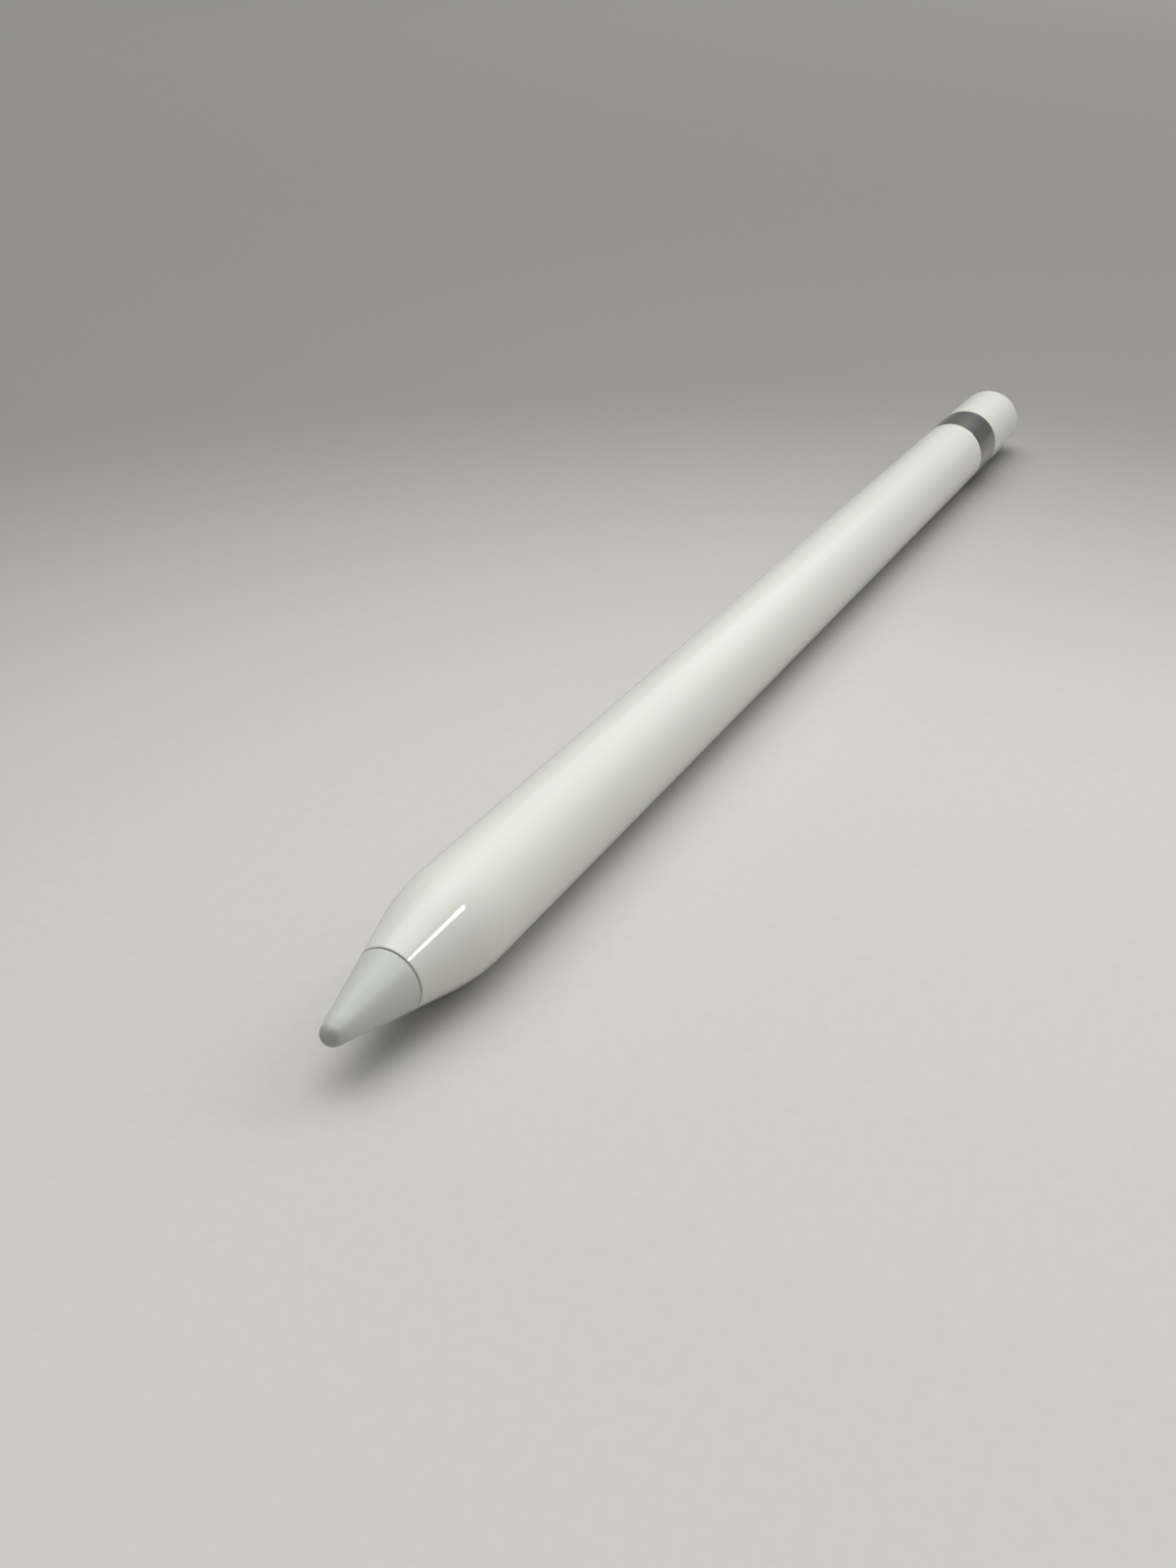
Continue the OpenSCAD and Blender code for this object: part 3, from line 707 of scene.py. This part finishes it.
@dataclass(frozen=True)
class Foil(Finish):
    """Laminated foil around the battery cell, with shallow wrinkles and painted shade in their
    valleys.
    """

    metallic: float = 0.8
    wrinkles: float = 500.0
    wrinkle_detail: float = 5.0
    wrinkle_stretch: RGB = (1.0, 0.5, 0.5)
    wrinkle_range: Span = (0.3, 0.7)
    wrinkle_dulls: float = 0.2
    wrinkle_depth: float = 0.03
    # Painted shade: the foil is darker where the wrinkles are low.
    painted_valley_shade: float = 0.85

    def wire(self) -> None:
        """Lays the wrinkles over the foil, with painted shade in their valleys."""
        coat = self.coat
        wrinkles = coat.noise(self.wrinkles, self.wrinkle_detail, self.wrinkle_stretch)
        coat.put("Metallic", self.metallic)
        coat.dress(coat.tint(wrinkles, self.shade(self.painted_valley_shade), self.colour),
                   self.dull(wrinkles, self.wrinkle_dulls, self.wrinkle_range),
                   wrinkles, self.wrinkle_depth)


@dataclass(frozen=True)
class Foam(Finish):
    """Open-celled foam, with painted shade in the pits of its cells."""

    cells: float = 4000.0
    # Painted shade: darkest in the middle of each cell's pit, palest at its rim.
    painted_pit_tones: Span = (0.5, 1.3)
    cell_dulls: float = 0.15
    cell_depth: float = 0.05

    def wire(self) -> None:
        """Lays the cells of the foam, with painted shade in their pits."""
        coat = self.coat
        sizes = {"Vector": coat.place(), "Scale": self.cells}
        cells = coat.add("ShaderNodeTexVoronoi", sizes).outputs["Distance"]
        coat.dress(coat.tint(cells, *(self.shade(tone) for tone in self.painted_pit_tones)),
                   self.dull(cells, self.cell_dulls), cells, self.cell_depth)


FINISHES = {
    finish.slot: finish
    for finish in (
        GlossShell(Slot.WHITE_GLOSS, (0.83, 0.836, 0.772), 0.04, seams=(NOSE_T, RING_T, CAP_T)),
        SatinNib(Slot.NIB_WHITE, (0.64, 0.665, 0.615), 0.42),
        Metal(Slot.RING_METAL, (0.42, 0.42, 0.416), 0.2, 14000.0, 0.0004, smear_dulls=0.05),
        Metal(Slot.STEEL, (0.60, 0.60, 0.60), 0.28),
        Metal(Slot.NICKEL, (0.66, 0.64, 0.60), 0.22),
        Metal(Slot.GOLD, (0.83, 0.62, 0.28), 0.2, depth=0.001),
        Metal(Slot.COPPER_FOIL, (0.76, 0.46, 0.30), 0.3, lines=4000.0),
        Moulding(Slot.WEIGHT_IRON, (0.28, 0.28, 0.29), 0.55, grain=7000.0, depth=0.01),
        Moulding(Slot.SEAL_RUBBER, (0.08, 0.08, 0.08), 0.7),
        Moulding(Slot.INNER_PLASTIC, (0.72, 0.72, 0.71), 0.4, cloud_tone=0.95),
        Moulding(Slot.SENSOR_PLASTIC, (0.28, 0.28, 0.29), 0.45),
        Laminate(Slot.BOARD_LAMINATE, (0.03, 0.14, 0.08), 0.35),
        Film(Slot.FLEX_FILM, (0.68, 0.36, 0.10), 0.35),
        Moulding(Slot.CHIP_BLACK, (0.035, 0.035, 0.037), 0.5,
                 grain=12000.0, depth=0.004, cloud_tone=0.7),
        Foil(Slot.CELL_FOIL, (0.62, 0.63, 0.65), 0.3),
        Foam(Slot.PAD_FOAM, (0.12, 0.12, 0.13), 0.85),
    )
}


def add_piece(mesh: Mesh, body: Body, slot: Slot, *nodes: str) -> None:
    """Puts a finished mesh on a body.

    Args:
        mesh: mesh in its place.
        body: body that it rides on.
        slot: slot whose finish it takes.
        nodes: solids that it stands for.
    """
    piece = new_object(mesh.name, mesh)
    mesh.materials.clear()
    mesh.materials.append(FINISHES[slot].material)
    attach(piece, body.value)
    if nodes:
        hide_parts(*nodes)
    log.info("%s rides on %s, with %d faces", mesh.name, body.value, len(mesh.polygons))


class ShapeTree(NodeSheet):
    """Geometry Nodes tree with named inputs, run once to make a plain mesh."""

    def __init__(self, name: str, sizes: dict[str, float]) -> None:
        """Makes the tree and its inputs.

        Args:
            name: name of the tree.
            sizes: value of each named input; a whole number makes a count.
        """
        super().__init__(bpy.data.node_groups.new(name, "GeometryNodeTree"))
        self.sizes = sizes
        counts = {key: "Int" if isinstance(size, int) else "Float" for key, size in sizes.items()}
        add = self.tree.interface.new_socket
        for key, kind in {"Core": "Geometry", **counts, "Finish": "Material"}.items():
            add(name=key, in_out="INPUT", socket_type="NodeSocket" + kind)
        add(name="Shape", in_out="OUTPUT", socket_type="NodeSocketGeometry")
        self.given = self.add("NodeGroupInput").outputs

    def step(self, kind: str, inputs: Inputs = None, **settings: object) -> Socket:
        """Adds a step of the construction, as one node, and gives its first output."""
        return self.add("GeometryNode" + kind, inputs, **settings).outputs[0]

    def vector(self, **parts: object) -> Socket:
        """Gives a vector from its X, Y and Z."""
        return self.add("ShaderNodeCombineXYZ", parts).outputs["Vector"]

    def moved(self, shape: Socket, **change: object) -> Socket:
        """Gives a shape after a Translation, a Rotation or a Scale."""
        return self.step("Transform", {"Geometry": shape, **change})

    def joined(self, *shapes: Socket) -> Socket:
        """Joins shapes.

        Args:
            shapes: shapes in order.

        Returns:
            All of them as one.
        """
        node = self.add("GeometryNodeJoinGeometry")
        for shape in shapes:
            self.feed(node.inputs["Geometry"], shape)
        return node.outputs["Geometry"]

    def mesh(self, shape: Socket, core: Mesh, slot: Slot) -> Mesh:
        """Ends the tree and runs it: the core and the shape become one mesh with a finish.

        Args:
            shape: shape to keep.
            core: mesh that the shape is joined to; it may be empty.
            slot: slot whose finish the mesh takes.

        Returns:
            The plain mesh.
        """
        whole = self.joined(self.given["Core"], shape)
        real = self.step("RealizeInstances", {"Geometry": whole})
        dressed = self.step("SetMaterial", {"Geometry": real, "Material": self.given["Finish"]})
        self.add("NodeGroupOutput", {"Shape": dressed})
        holder = new_object(core.name, core)
        modifier = holder.modifiers.new("shape", "NODES")
        modifier.node_group = self.tree
        values = {**self.sizes, "Finish": FINISHES[slot].material}
        for item in self.tree.interface.items_tree:
            if item.in_out == "INPUT" and item.name in values:
                modifier[item.identifier] = values[item.name]
        made = holder.evaluated_get(bpy.context.evaluated_depsgraph_get())
        mesh = bpy.data.meshes.new_from_object(made)
        mesh.name = core.name + "_shape"
        holder.modifiers.remove(modifier)
        bpy.data.objects.remove(holder)
        return mesh


@dataclass
class ScrewThread:
    """Ridge of a screw thread around the pen's axis."""

    start: float  # station
    turns: float
    radius: float  # of the line that the ridge stands on
    height: float  # of the ridge on each side of that line
    width: float = 0.26  # of the ridge along the pen
    sides: int = 4
    pitch: float = 0.4
    steps: int = 72  # points in one turn
    run_out: float = 0.05  # share of the ridge over which each end fades
    least: float = 0.05  # share of its size that an end keeps

    def mesh(self, core: Mesh, slot: Slot) -> Mesh:
        """Winds the ridge around a core.

        Args:
            core: mesh that carries the ridge; it may be empty.
            slot: slot whose finish both take.

        Returns:
            The core and the ridge as one plain mesh.
        """
        tree = ShapeTree("Screw thread", {
            "Start": AXIS.start_x + self.start * MM, "Axis": AXIS.height, "Turns": self.turns,
            "Length": self.turns * self.pitch * MM, "Radius": self.radius * MM,
            "Height": self.height * MM, "Half width": self.width / 2 * MM,
            "Run out": self.run_out, "Steps": self.steps})
        given = tree.given
        helix = tree.step("CurveSpiral", {
            "Resolution": given["Steps"], "Rotations": given["Turns"], "Height": given["Length"],
            "Start Radius": given["Radius"], "End Radius": given["Radius"]})
        upright = tree.step("SetCurveNormal", {"Curve": helix}, mode="Z_UP")
        kite = tree.step("CurvePrimitiveCircle", {"Resolution": self.sides, "Radius": 1.0})
        section = tree.vector(X=given["Height"], Y=given["Half width"], Z=1.0)
        along = tree.step("SplineParameter")
        from_end = tree.math("MINIMUM", along, tree.math("SUBTRACT", 1.0, along))
        fade = tree.math("MINIMUM", 1.0, tree.math("DIVIDE", from_end, given["Run out"]))
        ridge = tree.step("CurveToMesh", {
            "Curve": upright, "Profile Curve": tree.moved(kite, Scale=section),
            "Scale": tree.math("MAXIMUM", fade, self.least), "Fill Caps": True})
        laid = tree.moved(ridge, Rotation=(0.0, math.pi / 2, 0.0),
                          Translation=tree.vector(X=given["Start"], Z=given["Axis"]))
        return tree.mesh(laid, core, slot)


class Unit:
    """Sub-assembly of the pen."""

    finishes: ClassVar[dict[Slot, tuple[str, ...]]] = {}  # of the solids that it keeps

    def build(self) -> None:
        """Builds the unit's own meshes; a unit that keeps all its solids has none."""

    def dress(self) -> None:
        """Gives the solids that the unit keeps their finishes."""
        for slot, nodes in self.finishes.items():
            for node in nodes:
                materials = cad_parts[node].data.materials
                materials.clear()
                materials.append(FINISHES[slot].material)
                log.info("%s keeps its solid, with %s", node, slot.value)


@dataclass
class NibUnit(Unit):
    """Screwed nib with its threaded insert and its electrode."""

    finishes = {Slot.STEEL: ("nib_insert",), Slot.GOLD: ("tip_electrode",)}

    end_radius: float = 0.95
    taper: float = 14.3  # half angle of the cone, in degrees
    edge: float = 0.04
    reach: float = 0.03  # of the rear face behind the solid's, which leaves a fine seam
    insert_room: float = 0.03
    pin_r: float = 0.42
    thread: ScrewThread = field(default_factory=lambda: ScrewThread(
        start=STUD_T + 0.4, turns=5.5, radius=1.05, height=0.19))  # half a pitch behind the stud's

    def cone_radius(self, station: float) -> float:
        """Gives the radius of the cone that the nib and the barrel share."""
        angle = math.radians(self.taper)
        return self.end_radius * (1 - math.sin(angle)) / math.cos(angle) + station * math.tan(angle)

    def build(self) -> None:
        """Builds the cone, and the thread that turns with it."""
        length = AXIS.span("nib")[1] + self.reach
        socket_t = AXIS.span("nib_insert")[0]
        socket_r = AXIS.reach("nib_insert") + self.insert_room
        pin_t = AXIS.span("tip_electrode")[0]
        cone = turned("nib_cone", [
            Corner(0, 0),
            Corner(0, self.cone_radius(0), self.end_radius),
            Corner(length, self.cone_radius(length), self.edge),
            Corner(length, socket_r, self.edge),
            Corner(socket_t, socket_r),
            Corner(socket_t, self.pin_r),
            Corner(pin_t, self.pin_r),
            Corner(pin_t, 0),
        ], closed=False)
        add_piece(cone, Body.NIB, Slot.NIB_WHITE, "nib")
        thread = self.thread.mesh(bpy.data.meshes.new("insert_thread"), Slot.STEEL)
        add_piece(thread, Body.NIB, Slot.STEEL)


@dataclass
class FrontEnd(Unit):
    """Force-sensing front end: threaded post, seal, plates and housing."""

    finishes = {
        Slot.INNER_PLASTIC: ("post_sleeve",),
        Slot.GOLD: ("drive_pin",),
        Slot.COPPER_FOIL: ("tilt_emitter",),
        Slot.SENSOR_PLASTIC: ("sensor_housing",),
        Slot.STEEL: ("flexure_plates", "plate_spacers", "sensor_clamp"),
        Slot.FLEX_FILM: ("strain_gauges", "front_flex"),
    }

    bore_r: float = 0.55  # of the post, around its sleeve
    core_r: float = 0.8  # of the stud, below the ridge
    stem_r: float = 1.4
    flange_r: float = 1.9
    flange_t: float = 0.8
    press_room: float = 0.15  # between the flange and the first plate
    tail_r: float = 0.8
    edge: float = 0.05
    seal_room: float = 0.05
    seal_lip: float = 0.08  # depth of the groove between the seal's two lips
    thread: ScrewThread = field(default_factory=lambda: ScrewThread(
        start=STUD_T + 0.2, turns=6.0, radius=0.8, height=0.2))

    def build(self) -> None:
        """Builds the post with its thread, and the seal."""
        front, rear = AXIS.span("sensor_post")
        shoulder = AXIS.span("nib")[1]
        flange_end = AXIS.span("flexure_plates")[0] - self.press_room
        flange_start = flange_end - self.flange_t
        post = turned("sensor_stud", [
            Corner(front, self.bore_r),
            Corner(front, self.core_r, self.edge),
            Corner(shoulder, self.core_r),
            Corner(shoulder, self.stem_r, self.edge),
            Corner(flange_start, self.stem_r),
            Corner(flange_start, self.flange_r, self.edge),
            Corner(flange_end, self.flange_r, self.edge),
            Corner(flange_end, self.tail_r),
            Corner(rear, self.tail_r, self.edge),
            Corner(rear, self.bore_r),
        ], closed=True)
        stud = self.thread.mesh(post, Slot.STEEL)
        add_piece(stud, Body.PLUNGER, Slot.STEEL, "sensor_post")
        self.build_seal()

    def build_seal(self) -> None:
        """Builds the seal as a ring with two lips."""
        front, rear = AXIS.span("post_seal")
        middle = (front + rear) / 2
        inner = self.stem_r + self.seal_room
        outer = AXIS.reach("post_seal")
        lip = (rear - front) / 4
        seal = turned("lip_seal", [
            Corner(front, inner, self.edge),
            Corner(front, outer, self.edge),
            Corner(rear, outer, self.edge),
            Corner(rear, inner, self.edge),
            Corner(middle + lip, inner),
            Corner(middle, inner + self.seal_lip, self.edge),
            Corner(middle - lip, inner),
        ], closed=True)
        add_piece(seal, Body.BARREL, Slot.SEAL_RUBBER, "post_seal")


@dataclass
class Barrel(Unit):
    """Outer tube of the pen, which carries on the nib's cone."""

    nib: NibUnit
    blend_radius: float = 22.0  # between the taper and the straight tube
    wall: float = 0.9
    nose_bore_r: float = 1.7
    nose_land: float = 2.0  # length of the straight bore in the nose
    edge: float = 0.04
    reach: float = 0.03  # of the nose before the solid's, which leaves a fine seam

    def build(self) -> None:
        """Builds the tube with its taper, blend and bore."""
        nose_t = NOSE_T - self.reach
        angle = math.radians(self.nib.taper)
        corner_t = (AXIS.radius - self.nib.cone_radius(0)) / math.tan(angle)
        bore_t = corner_t + self.blend_radius * math.tan(angle / 2) / 2
        bore_r = AXIS.radius - self.wall
        tube = turned("barrel_tube", [
            Corner(nose_t, self.nose_bore_r, self.edge),
            Corner(nose_t, self.nib.cone_radius(nose_t), self.edge),
            Corner(corner_t, AXIS.radius, self.blend_radius),
            Corner(RING_T, AXIS.radius, self.edge),
            Corner(RING_T, bore_r),
            Corner(bore_t, bore_r),
            Corner(NOSE_T + self.nose_land, self.nose_bore_r),
        ], closed=True)
        add_piece(tube, Body.BARREL, Slot.WHITE_GLOSS, "barrel")


@dataclass
class Electronics(Unit):
    """Boards, battery cell, antenna and their chassis, inside the barrel."""

    finishes = {
        Slot.STEEL: ("chassis_tube", "shield_can"),
        Slot.BOARD_LAMINATE: ("main_board", "second_board"),
        Slot.FLEX_FILM: ("fold_flex", "plug_flex"),
        Slot.CHIP_BLACK: ("board_chips",),
        Slot.CELL_FOIL: ("battery_cell",),
        Slot.PAD_FOAM: ("battery_pads",),
        Slot.NICKEL: ("battery_tabs",),
        Slot.WEIGHT_IRON: ("balance_weight",),
        Slot.INNER_PLASTIC: ("antenna_core",),
        Slot.COPPER_FOIL: ("antenna",),
    }


@dataclass
class RearEnd(Unit):
    """Trim ring and charging plug."""

    finishes = {
        Slot.INNER_PLASTIC: ("plug_carrier",),
        Slot.STEEL: ("plug_shell", "keeper_plates"),
        Slot.SENSOR_PLASTIC: ("plug_core",),
    }

    ring_wall: float = 0.75  # around the plug's carrier
    spigot_depth: float = 0.95  # of the glued spigot below the outer wall
    spigot_wall: float = 0.4
    step: float = 1.2  # thickness of the flange inside the ring
    edge: float = 0.06
    contact_count: int = 8  # on each face of the plug
    contact_pitch: float = 0.62
    contact_width: float = 0.42
    contact_thickness: float = 0.15
    contact_chamfer: float = 0.93  # share of its size at a contact's top
    contact_rounding: float = 0.49  # of its ends, as a share of its width
    rounding_steps: int = 8

    def build(self) -> None:
        """Builds the ring and the plug's contacts."""
        start, end = AXIS.span("trim_ring")
        glued_r = AXIS.radius - self.spigot_depth
        inner = glued_r - self.spigot_wall
        bore = AXIS.radius - self.ring_wall
        ring = turned("trim_band", [
            Corner(start, inner),
            Corner(start, glued_r, self.edge),
            Corner(RING_T, glued_r),
            Corner(RING_T, AXIS.radius, self.edge),
            Corner(end, AXIS.radius, self.edge),
            Corner(end, bore, self.edge),
            Corner(RING_T + self.step, bore),
            Corner(RING_T + self.step, inner),
        ], closed=True)
        add_piece(ring, Body.BARREL, Slot.RING_METAL, "trim_ring")
        add_piece(self.contacts(), Body.BARREL, Slot.GOLD, "plug_contacts")

    def contacts(self) -> Mesh:
        """Sets the contacts in a row on each face of the plug.

        Returns:
            All the contacts as one plain mesh.
        """
        low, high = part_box("plug_contacts")
        tree = ShapeTree("Contact rows", {
            "Count": self.contact_count, "Pitch": self.contact_pitch * MM,
            "Width": self.contact_width * MM, "Length": high.x - low.x,
            "Half thickness": self.contact_thickness / 2 * MM, "Top": self.contact_chamfer,
            "Middle": (low.x + high.x) / 2, "First": low.y + self.contact_width / 2 * MM,
            "Face": (high.z - low.z) / 2, "Axis": AXIS.height})
        given = tree.given
        foot = tree.vector(Z=tree.math("MULTIPLY", given["Half thickness"], -2.0))
        rise = tree.vector(Z=given["Half thickness"])
        # The three points of the path are a contact's foot, the start of its chamfer and its top.
        stack = tree.step("MeshLine", {"Count": 3, "Start Location": foot, "Offset": rise})
        path = tree.step("MeshToCurve", {"Mesh": stack})
        outline = tree.step("CurvePrimitiveQuadrilateral",
                            {"Width": given["Length"], "Height": given["Width"]})
        pill = tree.step("FilletCurve", {
            "Curve": outline, "Count": self.rounding_steps,
            "Radius": tree.math("MULTIPLY", given["Width"], self.contact_rounding)}, mode="POLY")
        scale = tree.ramp(tree.step("SplineParameter"), 0.5, 1.0, 1.0, given["Top"])
        pad = tree.step("CurveToMesh", {
            "Curve": path, "Profile Curve": pill, "Scale": scale, "Fill Caps": True})
        row = tree.step("MeshLine", {
            "Count": given["Count"], "Offset": tree.vector(Y=given["Pitch"]),
            "Start Location": tree.vector(Y=given["First"], Z=given["Face"])})
        upper = tree.step("InstanceOnPoints", {"Points": row, "Instance": pad})
        both = tree.joined(upper, tree.moved(upper, Rotation=(math.pi, 0.0, 0.0)))
        laid = tree.moved(both, Translation=tree.vector(X=given["Middle"], Z=given["Axis"]))
        return tree.mesh(laid, bpy.data.meshes.new("contact_pads"), Slot.GOLD)


@dataclass
class Cap(Unit):
    """Domed cap over the charging plug."""

    finishes = {Slot.INNER_PLASTIC: ("cap_liner",), Slot.NICKEL: ("cap_magnets",)}

    wall: float = 0.6
    edge: float = 0.06

    def build(self) -> None:
        """Builds the cap's shell with its dome."""
        bore = AXIS.radius - self.wall
        end = AXIS.length
        shell = turned("cap_dome", [
            Corner(end, 0),
            Corner(end, AXIS.radius, AXIS.radius),
            Corner(CAP_T, AXIS.radius, self.edge),
            Corner(CAP_T, bore, self.edge),
            Corner(end - self.wall, bore, bore),
            Corner(end - self.wall, 0),
        ], closed=False)
        add_piece(shell, Body.CAP, Slot.WHITE_GLOSS, "cap_shell")


@dataclass(frozen=True)
class Lamp:
    """Soft rectangular lamp that points at the pen, with its sizes in metres."""

    name: str
    aim: float  # station that it points at
    direction: RGB  # from there to the lamp
    distance: float
    width: float  # along the pen
    height: float  # across it
    radiance: float
    use: LampUse

    def build(self) -> None:
        """Hangs the lamp."""
        light = bpy.data.lights.new(self.name, "AREA")
        light.shape = "RECTANGLE"
        light.size = self.width
        light.size_y = self.height
        light.energy = self.radiance * math.pi * self.width * self.height
        lamp = new_object(self.name, light)
        back = Vector(self.direction).normalized()
        across = (Vector((1.0, 0.0, 0.0)) - back * back.x).normalized()
        lamp.location = AXIS.point(self.aim, 0, 0) + back * self.distance
        lamp.rotation_mode = "QUATERNION"
        turn = Matrix((across, back.cross(across), back)).transposed()
        lamp.rotation_quaternion = turn.to_quaternion()
        lamp.visible_camera = False
        lamp.visible_glossy = self.use is LampUse.GLINT
        lamp.visible_diffuse = self.use is LampUse.FILL
        log.info("%s hangs %.2f m away", self.name, self.distance)


@dataclass(frozen=True)
class Glow:
    """Soft bright patch of the surroundings."""

    direction: RGB  # of its middle
    edge: float  # cosine of the angle from its middle to its soft edge
    colour: RGB  # at its middle
    heights: Span = (-1.0, -0.9)  # where it starts and is full: sines above the horizon

    def lay(self, sheet: NodeSheet, towards: Socket, under: Socket) -> Socket:
        """Lays the patch over the colour under it.

        Args:
            sheet: sheet of the world.
            towards: direction as a vector.
            under: colour under the patch.

        Returns:
            The colour with the patch.
        """
        middle = Vector(self.direction).normalized()
        facing = sheet.math("DOT_PRODUCT", towards, middle, kind="ShaderNodeVectorMath")
        height = sheet.add("ShaderNodeSeparateXYZ", {"Vector": towards}).outputs["Z"]
        share = sheet.math("MULTIPLY", sheet.ramp(facing, self.edge, 1.0, soft=True),
                           sheet.ramp(height, *self.heights, soft=True))
        return sheet.tint(share, under, self.colour)


@dataclass
class Studio:
    """Floor, light and camera. The floor is in metres, and angles are in degrees."""

    camera_place: RGB = (-154.44, -53.894, 69.178)
    heading: float = 27.173  # of the view, from +X towards +Y
    pitch: float = 28.36  # of the view, below the horizon
    lens: float = 36.0
    sensor: float = 36.0  # along the picture's long side
    clip_start: float = 0.005
    floor_radius: float = 2.6
    floor_colour: RGB = (0.635, 0.625, 0.60)  # around the nib, in the painted pool of light
    floor_painted_shade: RGB = (0.28, 0.274, 0.264)  # painted shade, farther away
    floor_roughness: float = 0.8
    fibre: float = 900.0
    fibre_detail: float = 4.0
    fibre_shade: float = 0.05
    painted_pool_place: RGB = (-0.08, -0.04, 0.0)  # middle of the painted pool of light
    painted_pool_rim: Span = (0.05, 0.21)  # where the painted shade starts and where it is full
    painted_reflection_shade: float = 0.7  # least share of painted shade that reflections of the floor take
    wall_colour: RGB = (0.21, 0.21, 0.207)  # beyond the cap
    dark_colour: RGB = (0.06, 0.06, 0.059)  # before the nib
    dusk: Span = (-0.7, 0.4)  # change between the two, by the direction's X
    glows: tuple[Glow, ...] = (
        Glow((0.80, 0.08, 0.60), 0.78, (1.0, 1.0, 0.98), (0.34, 0.5)),
        Glow((0.12, 0.20, 0.97), 0.72, (2.6, 2.6, 2.55)),
    )
    lamps: tuple[Lamp, ...] = (
        Lamp("strip_lamp", 7.7, (0.327, -0.539, 0.776), 0.9, 0.29, 0.11, 14.0, LampUse.GLINT),
        Lamp("fill_lamp", 7.7, (0.85, -0.5, 0.36), 3.4, 2.7, 2.7, 1.8, LampUse.FILL),
        Lamp("rear_lamp", 160.0, (0.0, -0.2, 1.0), 0.15, 0.12, 0.12, 0.95, LampUse.FILL),
    )

    def build(self) -> None:
        """Builds the whole studio."""
        self.build_floor()
        self.build_world()
        for lamp in self.lamps:
            lamp.build()
        self.build_camera()

    def build_floor(self) -> None:
        """Lays a pale floor under the pen, with a painted pool of light around the nib, painted
        shade farther away, and painted shade on the floor in reflections.
        """
        rim = [math.tau * k / SEGMENTS for k in range(SEGMENTS)]
        size = self.floor_radius
        mesh = bpy.data.meshes.new("floor")
        points = [(size * math.cos(angle), size * math.sin(angle), 0.0) for angle in rim]
        mesh.from_pydata(points, [], [range(SEGMENTS)])
        paper = bpy.data.materials.new("floor_paper")
        mesh.materials.append(paper)
        coat = Coat(paper)
        # Painted pool of light: the floor darkens to painted shade away from the nib, and
        # reflections of it take painted shade too.
        away = coat.math("DISTANCE", coat.place(), self.painted_pool_place, kind="ShaderNodeVectorMath")
        far = coat.ramp(away, *self.painted_pool_rim, soft=True)
        glossy = coat.add("ShaderNodeLightPath").outputs["Is Glossy Ray"]
        shade = coat.math("MAXIMUM", far, coat.math("MULTIPLY", glossy, self.painted_reflection_shade))
        noise = coat.noise(self.fibre, self.fibre_detail)
        fibre = coat.ramp(noise, *CLOUD_RANGE, 0.0, self.fibre_shade)
        pale = coat.tint(fibre, self.floor_colour, self.floor_painted_shade)
        coat.put("Base Color", coat.tint(shade, pale, self.floor_painted_shade))
        coat.put("Roughness", self.floor_roughness)
        floor = new_object("floor", mesh)

    def build_world(self) -> None:
        """Surrounds the pen with dim walls under bright patches."""
        world = bpy.data.worlds.new("studio")
        bpy.context.scene.world = world
        world.use_nodes = True
        sheet = NodeSheet(world.node_tree)
        towards = sheet.add("ShaderNodeTexCoord").outputs["Generated"]
        along = sheet.add("ShaderNodeSeparateXYZ", {"Vector": towards}).outputs["X"]
        light = sheet.ramp(along, *self.dusk, soft=True)
        colour = sheet.tint(light, self.dark_colour, self.wall_colour)
        for glow in self.glows:
            colour = glow.lay(sheet, towards, colour)
        sheet.feed(world.node_tree.nodes["Background"].inputs["Color"], colour)

    def build_camera(self) -> None:
        """Sets the camera where the photograph was taken from."""
        data = bpy.data.cameras.new("camera")
        data.sensor_width = self.sensor
        data.lens = self.lens
        data.clip_start = self.clip_start
        camera = new_object("camera", data)
        heading, pitch = math.radians(self.heading), math.radians(self.pitch)
        level = math.cos(pitch)
        ahead = Vector((level * math.cos(heading), level * math.sin(heading), -math.sin(pitch)))
        camera.location = Vector(self.camera_place) * MM
        camera.rotation_mode = "QUATERNION"
        camera.rotation_quaternion = ahead.to_track_quat("-Z", "Y")
        bpy.context.scene.camera = camera


def main() -> None:
    """Builds every sub-assembly in order, then the studio."""
    logging.basicConfig(level=logging.INFO, format="%(name)s: %(message)s")
    nib = NibUnit()
    units = (nib, FrontEnd(), Barrel(nib), Electronics(), RearEnd(), Cap())
    for unit in units:
        unit.build()
    for unit in units:
        unit.dress()
    Studio().build()
    bpy.context.scene.view_settings.view_transform = "Standard"


if __name__ == "__main__":
    main()
